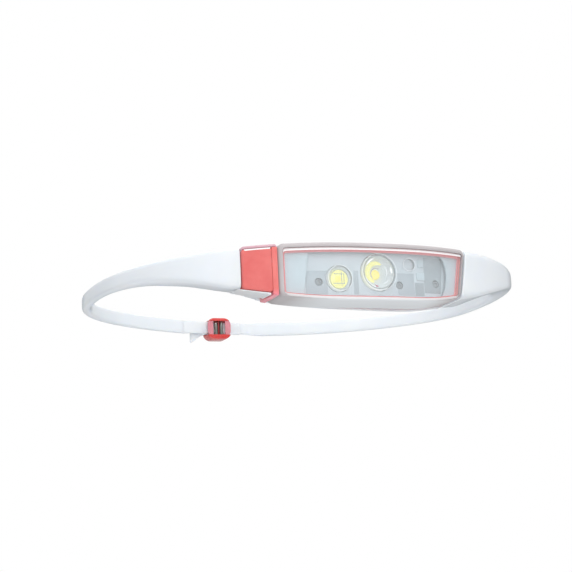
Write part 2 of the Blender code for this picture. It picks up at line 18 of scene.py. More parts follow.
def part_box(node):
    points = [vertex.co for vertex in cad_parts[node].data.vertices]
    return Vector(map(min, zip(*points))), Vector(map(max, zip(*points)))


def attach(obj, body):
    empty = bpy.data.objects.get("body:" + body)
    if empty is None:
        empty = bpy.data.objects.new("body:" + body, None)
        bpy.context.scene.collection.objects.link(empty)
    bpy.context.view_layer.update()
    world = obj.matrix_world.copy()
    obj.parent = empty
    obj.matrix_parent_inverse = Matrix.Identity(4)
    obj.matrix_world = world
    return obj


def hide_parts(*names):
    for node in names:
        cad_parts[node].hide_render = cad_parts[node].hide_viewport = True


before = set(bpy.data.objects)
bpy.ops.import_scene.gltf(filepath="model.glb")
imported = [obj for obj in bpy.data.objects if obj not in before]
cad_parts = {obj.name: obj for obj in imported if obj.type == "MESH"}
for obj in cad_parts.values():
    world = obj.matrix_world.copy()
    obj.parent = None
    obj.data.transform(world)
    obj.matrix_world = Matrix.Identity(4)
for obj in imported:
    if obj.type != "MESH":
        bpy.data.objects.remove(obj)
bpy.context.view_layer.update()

MM = 0.001
INWARDS = (0, 1, 0)  # from the light unit's front towards the head
PLAIN_EDGE = 34.0  # degrees, past which an edge of a cut piece stays sharp
SOFT_EDGE = 50.0  # the same for a moulded piece
BEAD_EDGE = 60.0  # the same for a thin bead
RIGHT_ENOUGH = math.radians(60)  # the angle past which an edge counts as a corner to round
log = logging.getLogger("headlamp")

Point = tuple[float, float]
Place = Callable[[int, int], Vector]


class Body(Enum):
    """The CAD bodies that pieces ride on."""

    BAND = "band"
    UNIT = "light_unit"
    BUTTON = "button"
    STEM = "stem"
    BUCKLE = "buckle"


# ---- numbers and curves


def linear(hex_colour: str) -> tuple[float, float, float, float]:
    """Turns an sRGB colour into the linear one that shaders read.

    Args:
        hex_colour: the colour as "#rrggbb".

    Returns:
        Linear red, green and blue, and an alpha of 1.
    """
    shares = [int(hex_colour[i : i + 2], 16) / 255 for i in (1, 3, 5)]
    return (*[s / 12.92 if s <= 0.04045 else ((s + 0.055) / 1.055) ** 2.4 for s in shares], 1.0)


def smooth(share: float) -> float:
    """Eases a share from 0 to 1, level at both ends."""
    share = min(max(share, 0.0), 1.0)
    return share * share * (3 - 2 * share)


def mix(a: float, b: float, share: float) -> float:
    """A number between a and b."""
    return a + (b - a) * share


def along_table(rows: Sequence[Sequence[float]], x: float) -> list[float]:
    """Reads a row between two rows of a table whose first column falls steadily.

    Args:
        rows: given rows, the first number of each being its place.
        x: the place to read.

    Returns:
        The other columns, eased between the rows on either side.
    """
    for before, after in zip(rows, rows[1:]):
        if after[0] <= x <= before[0]:
            share = (before[0] - x) / (before[0] - after[0])
            return [mix(a, b, share) for a, b in zip(before[1:], after[1:])]
    return list(rows[0][1:] if x > rows[0][0] else rows[-1][1:])


@dataclass(frozen=True)
class Plan:
    """The band's curves in plan and in height, which the light unit shares."""

    power: float = 2.3
    ring_y: float = 16.0
    half_width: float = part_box("head_band")[1].x / MM
    strap: float = 4.0
    front_reach: float = 16.0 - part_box("case_sleeve")[0].y / MM
    pad_reach: float = 80.5
    rear_reach: float = 70.0
    unit_top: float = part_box("case_sleeve")[1].z / MM
    side_low: float = 16.2
    side_high: float = 22.4
    rear_low: float = 14.2
    rear_high: float = 20.8
    flat_half: float = 7.5
    rise_power: float = 1.4
    unit_left: float = -41.0
    unit_right: float = 41.2
    button_left: float = -54.0
    lean: float = 4.6
    lean_start: float = 18.0
    lean_end: float = 80.0
    # (x, how much higher the underside is at the head than in front), from right to left
    lifts: tuple[Point, ...] = (
        (90.0, 0.0), (78.0, 1.2), (68.0, 1.3), (60.0, 0.9), (54.0, -0.2), (49.0, -1.0), (44.0, -0.6),
        (38.0, 0.0), (10.0, 0.0), (0.0, 0.2), (-12.0, 0.6), (-24.0, 1.1), (-35.0, 1.3), (-40.0, 1.7),
        (-45.0, 2.3), (-52.0, 3.3), (-57.0, 2.9), (-68.0, 2.2), (-76.0, 1.0), (-90.0, 0.0),
    )

    def reach(self, x: float, half_width: float, depth: float) -> float:
        """Distance from the ring's centre line to a superellipse at x."""
        share = min(abs(x) / half_width, 1.0)
        return depth * (1.0 - share**self.power) ** (1.0 / self.power)

    def front_y(self, x: float) -> float:
        """The outer face in front."""
        return self.ring_y - self.reach(x, self.half_width, self.front_reach)

    def pad_y(self, x: float) -> float:
        """The face that bears on the forehead."""
        return self.ring_y - self.reach(x, self.half_width - self.strap, self.pad_reach)

    def rear_y(self, x: float) -> float:
        """The outer face behind the head."""
        return self.ring_y + self.reach(x, self.half_width, self.rear_reach)

    def rise(self, x: float) -> float:
        """0 under the light unit's flat middle and 1 at the side of the head."""
        share = min(max(abs(x) - self.flat_half, 0.0) / (self.half_width - self.flat_half), 1.0)
        return math.sin(math.pi / 2 * share**self.rise_power) ** 2

    def low_z(self, x: float) -> float:
        """The lower edge in front and at the sides."""
        return self.side_low * self.rise(x)

    def top_z(self, x: float) -> float:
        """The upper edge in front and at the sides."""
        return self.unit_top - (self.unit_top - self.side_high) * self.rise(x)

    def lift(self, x: float) -> float:
        """How much higher the underside is at the head than in front."""
        reads = [along_table(self.lifts, x + shift)[0] for shift in (-2.0, -1.0, 0.0, 1.0, 2.0)]
        return sum(reads) / len(reads)

    def climb(self, x: float, depth: float) -> float:
        """How much higher the underside is at a depth behind the front than in front."""
        return self.lift(x) * depth / (self.pad_y(x) - self.front_y(x))

    def rear_heights(self, x: float) -> Point:
        """The lower and the upper edge behind the ears."""
        share = smooth(1.0 - abs(x) / self.half_width)
        return mix(self.side_low, self.rear_low, share), mix(self.side_high, self.rear_high, share)

    def inner_of(self, x: float) -> Vector:
        """The point of the head-side face across from the outer face.

        Args:
            x: the outer face's place.

        Returns:
            The point in plan.
        """
        drawn_in = smooth((abs(x) + self.button_left) / (self.half_width + self.button_left))
        inner_x = x * (1 - (self.strap / self.half_width) * drawn_in)
        return Vector((inner_x, self.pad_y(inner_x)))

    def leaned(self, point: Vector) -> Vector:
        """Leans the light unit's right end, and the wing beside it, inwards at the foot.

        Args:
            point: a point of the upright shape.

        Returns:
            The point moved along the front curve, or as it is away from that end.
        """
        if point.x <= self.lean_start or point.x >= self.lean_end or point.y > self.ring_y:
            return point
        share = smooth((point.x - self.lean_start) / (self.unit_right - self.lean_start))
        share *= 1 - smooth((point.x - self.unit_right) / (self.lean_end - self.unit_right))
        x = point.x - self.lean * share * (1 - point.z / self.unit_top)
        return Vector((x, point.y + self.front_y(x) - self.front_y(point.x), point.z))

    def columns(self, x0: float, x1: float, low: float, high: float, corner: float, count: int) -> list:
        """Places across an outline with round corners.

        Args:
            x0, x1: the outline's left and right ends.
            low, high: its insets from the unit's lower and upper edge.
            corner: the corner radius.
            count: how many places lie between the corners.

        Returns:
            (x, lowest z, highest z) for each place, from left to right.
        """
        turns = 7
        steps = [corner * (1 - math.cos(math.pi / 2 * k / turns)) for k in range(turns + 1)]
        inner = [mix(x0 + corner, x1 - corner, i / count) for i in range(1, count)]
        found = []
        for x in [x0 + s for s in steps] + inner + [x1 - s for s in reversed(steps)]:
            edge = min(x - x0, x1 - x, corner)
            rounding = corner - math.sqrt(max(corner**2 - (corner - edge) ** 2, 0.0))
            found.append((x, self.low_z(x) + low + rounding, self.top_z(x) - high - rounding))
        return found


PLAN = Plan()


# ---- meshes


def wrapped_grid(
    rows: int, columns: int, place: Place, close_rows: bool, close_columns: bool
) -> bmesh.types.BMesh:
    """Bends a flat grid into a tube, a ring or a sheet.

    Args:
        rows: places along the shape.
        columns: places round it.
        place: gives the point, in millimetres, for a row and a column.
        close_rows: the last row meets the first.
        close_columns: the last column meets the first.

    Returns:
        The bent grid, its seams welded.
    """
    form = bmesh.new()
    along = rows if close_rows else rows - 1
    across = columns if close_columns else columns - 1
    bmesh.ops.create_grid(form, x_segments=along, y_segments=across, size=0.5)
    for vert in form.verts:
        i = round((vert.co.x + 0.5) * along)
        j = round((vert.co.y + 0.5) * across)
        vert.co = place(i % rows, j % columns) * MM
    bmesh.ops.remove_doubles(form, verts=form.verts, dist=1e-7)
    return form


def close_ends(form: bmesh.types.BMesh, soften: float = 0.0) -> None:
    """Fills a tube's open ends.

    Args:
        form: the tube.
        soften: how much to round the rims, in millimetres.
    """
    made = bmesh.ops.holes_fill(form, edges=[e for e in form.edges if e.is_boundary], sides=0)
    if soften:
        rims = {edge for face in made["faces"] for edge in face.edges}
        bevel(form, rims, soften, 3)


def bevel(
    form: bmesh.types.BMesh, edges: Iterable[bmesh.types.BMEdge], width: float, segments: int
) -> None:
    """Rounds edges by a width in millimetres."""
    bmesh.ops.bevel(
        form, geom=list(edges), offset=width * MM, segments=segments, profile=0.5, affect="EDGES",
        material=-1, clamp_overlap=True,
    )


def shape_of(name: str, form: bmesh.types.BMesh, sharp: float = PLAIN_EDGE) -> bpy.types.Object:
    """Makes an object of a finished bmesh.

    Args:
        name: its name.
        form: the shape, which is used up.
        sharp: the angle, in degrees, past which an edge stays sharp.

    Returns:
        The object, at the origin.
    """
    bmesh.ops.recalc_face_normals(form, faces=form.faces)
    mesh = bpy.data.meshes.new(name)
    form.to_mesh(mesh)
    form.free()
    mesh.shade_smooth()
    mesh.set_sharp_from_angle(angle=math.radians(sharp))
    made = bpy.data.objects.new(name, mesh)
    bpy.context.scene.collection.objects.link(made)
    return made


def settle(
    piece: bpy.types.Object, cutters: Sequence[bpy.types.Object], operation: str, sharp: float = PLAIN_EDGE
) -> None:
    """Cuts a piece by cutters, or joins them to it, and removes them.

    Args:
        piece: the piece to change.
        cutters: closed shapes.
        operation: DIFFERENCE or UNION.
        sharp: the angle, in degrees, past which an edge stays sharp.
    """
    for cutter in cutters:
        step = piece.modifiers.new("cut", "BOOLEAN")
        step.operation = operation
        step.object = cutter
        step.solver = "EXACT"
    bpy.context.view_layer.update()
    evaluated = piece.evaluated_get(bpy.context.evaluated_depsgraph_get())
    mesh = bpy.data.meshes.new_from_object(evaluated)
    piece.modifiers.clear()
    piece.data = mesh
    mesh.shade_smooth()
    mesh.set_sharp_from_angle(angle=math.radians(sharp))
    for cutter in cutters:
        bpy.data.objects.remove(cutter, do_unlink=True)


def dress(
    piece: bpy.types.Object, finish: bpy.types.Material, body: Body, slot: str, *nodes: str
) -> bpy.types.Object:
    """Gives a piece its finish and its body.

    Args:
        piece: the piece, in place.
        finish: its material.
        body: the body it moves with.
        slot: the record's material slot; not used.
        nodes: the CAD nodes it stands for.

    Returns:
        The piece.
    """
    piece.data.materials.clear()
    piece.data.materials.append(finish)
    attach(piece, body.value)
    if nodes:
        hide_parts(*nodes)
    return piece


def turned(
    profile: Sequence[Point], origin: Sequence[float], direction: Sequence[float], steps: int = 48
) -> bmesh.types.BMesh:
    """Spins a profile of (distance along, radius) points about a line.

    Args:
        profile: points in millimetres, whose first and last lie on the axis or meet each other.
        origin: where the axis starts, in millimetres.
        direction: the axis.
        steps: how many steps make a turn.

    Returns:
        The turned shape.
    """
    form = bmesh.new()
    points = [form.verts.new((radius * MM, 0.0, along * MM)) for along, radius in profile]
    edges = [form.edges.new(pair) for pair in zip(points, points[1:])]
    bmesh.ops.spin(
        form, geom=points + edges, cent=(0, 0, 0), axis=(0, 0, 1), angle=2 * math.pi, steps=steps,
        use_merge=True,
    )
    bmesh.ops.remove_doubles(form, verts=form.verts, dist=1e-7)
    turn = Vector(direction).to_track_quat("Z", "Y").to_matrix().to_4x4()
    bmesh.ops.transform(form, matrix=Matrix.Translation(Vector(origin) * MM) @ turn, verts=form.verts)
    return form


def arc(along: float, radius: float, size: float, start: float, end: float, steps: int = 6) -> list[Point]:
    """Points of an arc in a turned profile.

    Args:
        along, radius: the arc's centre.
        size: its radius.
        start, end: angles in degrees, 0 being along the axis and 90 outwards.
        steps: how many steps it takes.

    Returns:
        (distance along, radius) points.
    """
    turns = [math.radians(mix(start, end, k / steps)) for k in range(steps + 1)]
    return [(along + size * math.cos(t), max(radius + size * math.sin(t), 0.0)) for t in turns]


def brick(
    low: Sequence[float], high: Sequence[float], rounding: float, segments: int = 3
) -> bmesh.types.BMesh:
    """A block with rounded edges.

    Args:
        low, high: its opposite corners, in millimetres.
        rounding: how much its edges are rounded.
        segments: how many steps a rounding takes.

    Returns:
        The block.
    """
    form = bmesh.new()
    bmesh.ops.create_cube(form, size=1.0)
    size = Vector(high) - Vector(low)
    centre = (Vector(high) + Vector(low)) / 2
    bmesh.ops.scale(form, vec=size * MM, verts=form.verts)
    bmesh.ops.translate(form, vec=centre * MM, verts=form.verts)
    if rounding:
        bevel(form, form.edges, rounding, segments)
    return form


# ---- finishes


def add(
    tree: bpy.types.NodeTree, kind: str, settings: dict | None = None, inputs: dict | None = None
) -> bpy.types.Node:
    """Adds a node.

    Args:
        tree: the material's node tree.
        kind: the node's type.
        settings: its properties by name.
        inputs: values, or sockets to link, by the input's name or number.

    Returns:
        The node.
    """
    made = tree.nodes.new(kind)
    for name, value in (settings or {}).items():
        setattr(made, name, value)
    for name, value in (inputs or {}).items():
        if isinstance(value, bpy.types.NodeSocket):
            tree.links.new(value, made.inputs[name])
        else:
            made.inputs[name].default_value = value
    return made


@dataclass(frozen=True)
class Finish:
    """A moulded or ground finish: mottled colour, uneven gloss and a fine grain, and where set a painted
    glow, a painted paler foot and painted shade at grazing edges.
    """

    name: str
    colours: tuple[str, str]
    roughness: float
    roughness_spread: float = 0.05
    mottle_mm: float = 3.0
    grain_mm: float = 0.3
    grain_depth_mm: float = 0.002
    metallic: float = 0.0
    ior: float = 1.5
    transmission: float = 0.0
    subsurface: float = 0.0
    subsurface_mm: tuple[float, float, float] = (1.0, 1.0, 1.0)
    coat: float = 0.0
    stretch: tuple[float, float, float] = (1.0, 1.0, 1.0)
    painted_glow: float = 0.0
    painted_foot_light: str = ""
    painted_foot_mm: tuple[float, float] = (0.6, 2.2)
    painted_edge_shade: str = ""

    def make(self) -> bpy.types.Material:
        """Builds the material.

        Returns:
            The material.
        """
        made = bpy.data.materials.new(self.name)
        made.use_nodes = True
        tree = made.node_tree
        shader = tree.nodes["Principled BSDF"]
        place = add(tree, "ShaderNodeTexCoord").outputs["Object"]
        scaled = add(
            tree, "ShaderNodeMapping", inputs={"Vector": place, "Scale": self.stretch}
        ).outputs["Vector"]
        mottle, grain = (
            add(
                tree, "ShaderNodeTexNoise",
                inputs={"Vector": scaled, "Scale": 1 / (size * MM), "Detail": detail},
            ).outputs["Fac"]
            for size, detail in ((self.mottle_mm, 3.0), (self.grain_mm, 2.0))
        )
        spread = add(tree, "ShaderNodeValToRGB", inputs={"Fac": mottle})
        for element, place_on_ramp, colour in zip(spread.color_ramp.elements, (0.3, 0.7), self.colours):
            element.position = place_on_ramp
            element.color = linear(colour)
        colour = spread.outputs["Color"]
        # painted light: the colour turns paler towards the foot, below a band of heights
        if self.painted_foot_light:
            height = add(tree, "ShaderNodeSeparateXYZ", inputs={"Vector": place}).outputs["Z"]
            share = add(
                tree, "ShaderNodeMapRange",
                inputs={"Value": height, "From Min": self.painted_foot_mm[0] * MM, "From Max": self.painted_foot_mm[1] * MM},
            ).outputs["Result"]
            colour = add(
                tree, "ShaderNodeMix", {"data_type": "RGBA"},
                {"Factor": share, 6: linear(self.painted_foot_light), 7: colour},
            ).outputs[2]
        # painted shade: the colour turns to the edge shade where the surface turns away from view
        if self.painted_edge_shade:
            turned_away = add(tree, "ShaderNodeLayerWeight", inputs={"Blend": 0.5}).outputs["Facing"]
            share = add(
                tree, "ShaderNodeMapRange", inputs={"Value": turned_away, "From Min": 0.8, "From Max": 1.0}
            ).outputs["Result"]
            colour = add(
                tree, "ShaderNodeMix", {"data_type": "RGBA"},
                {"Factor": share, 6: colour, 7: linear(self.painted_edge_shade)},
            ).outputs[2]
        tree.links.new(colour, shader.inputs["Base Color"])
        # painted light: the colour is also given off as a glow, though the part is no lamp
        if self.painted_glow:
            tree.links.new(colour, shader.inputs["Emission Color"])
            shader.inputs["Emission Strength"].default_value = self.painted_glow
        gloss = add(
            tree, "ShaderNodeMapRange",
            inputs={
                "Value": grain, "From Min": 0.3, "From Max": 0.7,
                "To Min": max(self.roughness - self.roughness_spread, 0.02),
                "To Max": self.roughness + self.roughness_spread,
            },
        )
        tree.links.new(gloss.outputs["Result"], shader.inputs["Roughness"])
        bump = add(
            tree, "ShaderNodeBump",
            inputs={"Height": grain, "Distance": self.grain_depth_mm * MM, "Strength": 1.0},
        )
        tree.links.new(bump.outputs["Normal"], shader.inputs["Normal"])
        shader.inputs["Metallic"].default_value = self.metallic
        if not self.metallic:
            shader.inputs["IOR"].default_value = self.ior
        shader.inputs["Transmission Weight"].default_value = self.transmission
        shader.inputs["Subsurface Weight"].default_value = self.subsurface
        shader.inputs["Subsurface Radius"].default_value = self.subsurface_mm
        shader.inputs["Subsurface Scale"].default_value = MM
        shader.inputs["Coat Weight"].default_value = self.coat
        shader.inputs["Coat Roughness"].default_value = 0.12
        return made


@dataclass(frozen=True)
class ClearFinish:
    """Polished clear plastic: light goes straight through to the pieces behind, and gloss lies on top."""

    name: str
    tint: str
    ior: float = 1.59
    roughness: float = 0.03
    haze: float = 0.04
    wave_mm: float = 14.0
    wave_depth_mm: float = 0.02

    def make(self) -> bpy.types.Material:
        """Builds the material.

        Returns:
            The material.
        """
        made = bpy.data.materials.new(self.name)
        made.use_nodes = True
        tree = made.node_tree
        tree.nodes.remove(tree.nodes["Principled BSDF"])
        output = tree.nodes["Material Output"]
        place = add(tree, "ShaderNodeTexCoord").outputs["Object"]
        waves = add(
            tree, "ShaderNodeTexNoise",
            inputs={"Vector": place, "Scale": 1 / (self.wave_mm * MM), "Detail": 1.0},
        ).outputs["Fac"]
        bump = add(
            tree, "ShaderNodeBump",
            inputs={"Height": waves, "Distance": self.wave_depth_mm * MM, "Strength": 1.0},
        ).outputs["Normal"]
        through = add(tree, "ShaderNodeBsdfTransparent", inputs={"Color": linear(self.tint)}).outputs["BSDF"]
        body = add(
            tree, "ShaderNodeBsdfDiffuse", inputs={"Color": linear(self.tint), "Normal": bump}
        ).outputs["BSDF"]
        gloss = add(
            tree, "ShaderNodeBsdfGlossy",
            inputs={"Color": (1, 1, 1, 1), "Roughness": self.roughness, "Normal": bump},
        ).outputs["BSDF"]
        hazy = add(tree, "ShaderNodeMixShader", inputs={0: self.haze, 1: through, 2: body}).outputs["Shader"]
        outside = add(tree, "ShaderNodeNewGeometry").outputs["Backfacing"]
        fresnel = add(tree, "ShaderNodeFresnel", inputs={"IOR": self.ior, "Normal": bump}).outputs["Fac"]
        fresnel = add(
            tree, "ShaderNodeMix", {"data_type": "FLOAT"}, {"Factor": outside, 2: fresnel, 3: 0.0}
        ).outputs[0]
        whole = add(tree, "ShaderNodeMixShader", inputs={0: fresnel, 1: hazy, 2: gloss}).outputs["Shader"]
        tree.links.new(whole, output.inputs["Surface"])
        return made


class Finishes:
    """Every finish of the headlamp, made once."""

    def __init__(self) -> None:
        """Makes the materials."""
        # liquid silicone rubber, moulded in a satin tool: milky, bluish where it is thick, soft gloss, and a
        # painted grey shade where its surface turns away from view
        self.silicone = Finish(
            "milky_silicone", ("#eef3fa", "#f4f8fc"), 0.36, mottle_mm=22, grain_mm=0.5, grain_depth_mm=0.003,
            ior=1.41, transmission=0.25, subsurface=0.3, subsurface_mm=(2.2, 2.6, 3.2),
            painted_edge_shade="#98a2a9",
        ).make()
        # thermoplastic polyurethane, smoke grey: a satin skin that shows a little of the warm case under it,
        # painted paler at its foot for the light reflected onto its underside
        self.sleeve = Finish(
            "smoke_polyurethane", ("#aea8a9", "#b8b3b5"), 0.4, mottle_mm=14, grain_mm=0.4,
            grain_depth_mm=0.003, coat=0.15, painted_foot_light="#dde1e4", painted_foot_mm=(0.25, 1.6),
        ).make()
        # tinted polycarbonate, moulded and polished: deep coral with a wet gloss
        self.coral = Finish(
            "coral_polycarbonate", ("#da625f", "#e2706c"), 0.2, roughness_spread=0.04, mottle_mm=7,
            grain_mm=0.6, ior=1.585, subsurface=0.3, subsurface_mm=(3.0, 0.8, 0.7), coat=0.5,
        ).make()
        # the same resin in the buckle, redder because it is solid
        self.buckle = Finish(
            "red_polycarbonate", ("#c8322f", "#d23e3a"), 0.22, roughness_spread=0.04, mottle_mm=4,
            grain_mm=0.5, ior=1.585, subsurface=0.2, subsurface_mm=(2.0, 0.5, 0.5), coat=0.5,
        ).make()
        # the buckle's web, deep in the frame, painted dark red for the shade there, where little light comes
        # back out of the resin
        self.buckle_painted_shade = Finish(
            "red_polycarbonate_painted_shade", ("#8e1f22", "#9a2629"), 0.3, roughness_spread=0.04, grain_mm=0.4,
            grain_depth_mm=0.004, ior=1.585, coat=0.3,
        ).make()
        # moulded silicone bead, matt and light, with a painted glow that lifts it as if lit inside the window
        self.seal = Finish(
            "coral_silicone", ("#f07f82", "#f58d90"), 0.5, mottle_mm=6, grain_mm=0.4, grain_depth_mm=0.004,
            ior=1.41, painted_glow=0.12,
        ).make()
        # the button: the same resin, a little lighter where light passes through its walls
        self.button = Finish(
            "coral_button_polycarbonate", ("#d5615e", "#de706c"), 0.18, roughness_spread=0.03, mottle_mm=6,
            grain_mm=0.8, ior=1.585, subsurface=0.3, subsurface_mm=(3.0, 0.8, 0.7), coat=0.6,
        ).make()
        # clear polycarbonate, polished, and the same frosted, whose hazy white paints highlights on the
        # window's sloped rim and on the button
        self.clear = ClearFinish("clear_polycarbonate", "#fbfdfe", haze=0.1).make()
        self.optic = ClearFinish("clear_acrylic_optic", "#fbfdfe", ior=1.49, haze=0.06).make()
        self.frosted = ClearFinish("frosted_painted_highlight", "#fdfeff", roughness=0.3, haze=0.85).make()
        # vapour-metallised bowls: soft and pale, with a painted glow that lights them evenly
        self.bowl = Finish("metallised_bowl", ("#eef2f5", "#f6f8fa"), 0.3, coat=0.5, painted_glow=0.1).make()
        # painted highlights: near-white rings and arcs with a painted glow, where the optics' polished edges
        # and facets would send the light straight back
        self.painted_highlight = Finish(
            "painted_highlight_white", ("#f8faff", "#ffffff"), 0.12, roughness_spread=0.03, mottle_mm=2,
            grain_depth_mm=0.001, coat=0.6, painted_glow=0.3,
        ).make()
        # the case's end, painted paler towards its foot for the light on its lower edge
        self.case_end = Finish(
            "coral_case_end", ("#dc6d69", "#e47a76"), 0.2, roughness_spread=0.04, mottle_mm=6, grain_mm=0.6,
            ior=1.585, subsurface=0.3, subsurface_mm=(3.0, 0.8, 0.7), coat=0.5, painted_foot_light="#e58594",
            painted_foot_mm=(2.6, 5.4),
        ).make()
        # painted light: a faint violet crescent in the bowl, where blue light lingers beside the phosphor
        self.violet_painted_light = Finish(
            "painted_violet_light", ("#cfc6de", "#ddd6e8"), 0.25, mottle_mm=2, metallic=0.2, coat=0.4,
        ).make()
        # painted shade on the panel's lacquer, in two depths, where its recesses would darken it (the darker
        # one also colours the flood emitter's tracks), and a painted shadow line along the edge of its
        # bracket
        self.painted_shade_and_tracks = Finish(
            "silver_lacquer_painted_shade_and_tracks", ("#9ea9ae", "#a8b2b7"), 0.38, mottle_mm=6, grain_mm=0.25, coat=0.2,
        ).make()
        # the lighter of the two painted shades
        self.step = Finish(
            "silver_lacquer_light_painted_shade", ("#aeb9bf", "#b8c2c8"), 0.36, mottle_mm=6, grain_mm=0.25, coat=0.2,
        ).make()
        # painted shadow lines: the bracket's edge and the rings at the lenses' edges
        self.shadow = Finish("painted_shadow_line", ("#8a979e", "#949fa6"), 0.5, mottle_mm=4).make()
        # the buckle's thin end walls, frosted by their tool so that they look pale
        self.frosted_coral = Finish(
            "frosted_coral", ("#c9808a", "#d28c96"), 0.45, roughness_spread=0.06, grain_mm=0.25,
            grain_depth_mm=0.004, subsurface=0.4, subsurface_mm=(2.0, 1.0, 1.0),
        ).make()
        # the case's thin upper edge, painted pale pink for the light on its top
        self.painted_light_coral = Finish(
            "coral_brow_painted_light", ("#c096a2", "#caa2ad"), 0.4, mottle_mm=5, grain_depth_mm=0.003, coat=0.3,
        ).make()
        # painted reflection of the coral case in the spot lens: glossy red
        self.painted_coral_reflection_finish = Finish(
            "painted_coral_reflection", ("#d83a5a", "#e24868"), 0.3, roughness_spread=0.04, mottle_mm=1,
            grain_mm=0.2,
        ).make()
        # pale moulded liner, matt
        self.liner = Finish(
            "pale_abs_liner", ("#c2d0d5", "#cad7dc"), 0.45, roughness_spread=0.06, mottle_mm=12,
        ).make()
        # silver lacquer on ABS
        self.panel = Finish(
            "silver_lacquer", ("#cbd5da", "#d5dee3"), 0.34, mottle_mm=10, grain_mm=0.25, coat=0.2,
        ).make()
        # cerium phosphor in silicone: chalky yellow, brightened by a painted glow
        self.phosphor = Finish(
            "led_phosphor", ("#ffe248", "#ffec66"), 0.5, mottle_mm=1.6, grain_mm=0.2, grain_depth_mm=0.004,
            painted_glow=0.55,
        ).make()
        # the same phosphor, paler, with a painted glow: the flood emitter's disc, and the painted reflection
        # of the spot's emitter in its bowl
        self.pale_phosphor_and_reflection = Finish(
            "pale_phosphor_and_painted_reflection", ("#faee78", "#fef392"), 0.3, mottle_mm=1.6, grain_depth_mm=0.003,
            coat=0.4, painted_glow=0.52,
        ).make()
        # stainless steel, ground along its length
        self.steel = Finish(
            "ground_stainless_steel", ("#8b8d88", "#9fa09b"), 0.22, roughness_spread=0.08, mottle_mm=2.5,
            grain_mm=0.12, metallic=1.0, stretch=(1.0, 1.0, 0.1),
        ).make()
        # black-oxide screw heads, which still reflect a little
        self.dark_steel = Finish(
            "blackened_steel", ("#93999c", "#9fa5a8"), 0.4, roughness_spread=0.06, mottle_mm=1.5,
            grain_mm=0.2, metallic=0.3,
        ).make()
        # glass-fibre board under green solder mask
        self.board = Finish(
            "green_solder_mask", ("#0f5a37", "#14653f"), 0.4, grain_mm=0.25, grain_depth_mm=0.004, coat=0.3,
        ).make()
        # aluminium laminate of the pouch cell, finely wrinkled
        self.foil = Finish(
            "aluminium_laminate", ("#bfc1c4", "#cdced0"), 0.34, roughness_spread=0.08, mottle_mm=5,
            grain_mm=1.2, grain_depth_mm=0.03, metallic=0.9,
        ).make()
        # polyurethane foam of the cell's pad, cut from a sheet: dead matt and open-grained
        self.foam = Finish(
            "open_cell_foam", ("#26262a", "#34343a"), 0.9, mottle_mm=1.2, grain_mm=0.5, grain_depth_mm=0.08,
        ).make()
        # glass-filled nylon of the switch and the socket's tongue: black with a dull moulded skin
        self.nylon = Finish(
            "black_nylon", ("#1c1c1e", "#252528"), 0.5, roughness_spread=0.06, grain_mm=0.25,
            grain_depth_mm=0.004,
        ).make()
        # extruded PVC insulation of the leads, smooth with a low gloss
        self.wire_red = Finish(
            "red_pvc_insulation", ("#a8201c", "#b92a24"), 0.4, mottle_mm=2, grain_depth_mm=0.004,
        ).make()
        self.wire_black = Finish(
            "black_pvc_insulation", ("#1a1a1b", "#232324"), 0.4, mottle_mm=2, grain_depth_mm=0.004,
        ).make()


# ---- the silicone band


@dataclass(frozen=True)
class Section:
    """A cross-section of the band: a superellipse between a point of its outer face and one of its inner."""

    outer: Vector
    inner: Vector
    low: float
    high: float
    power: float
    lift: float = 0.0

    def point(self, turn: float) -> Vector:
        """A point of the section.

        Args:
            turn: how far round it lies, in radians, 0 being the middle of the inner face.

        Returns:
            The point.
        """
        share = 2 / self.power
        across = math.copysign(abs(math.cos(turn)) ** share, math.cos(turn))
        up = math.copysign(abs(math.sin(turn)) ** share, math.sin(turn))
        flat = (self.outer + self.inner) / 2 + (self.inner - self.outer) / 2 * across
        low = self.low + self.lift * (across + 1) / 2
        return Vector((flat.x, flat.y, (low + self.high) / 2 + (self.high - low) / 2 * up))


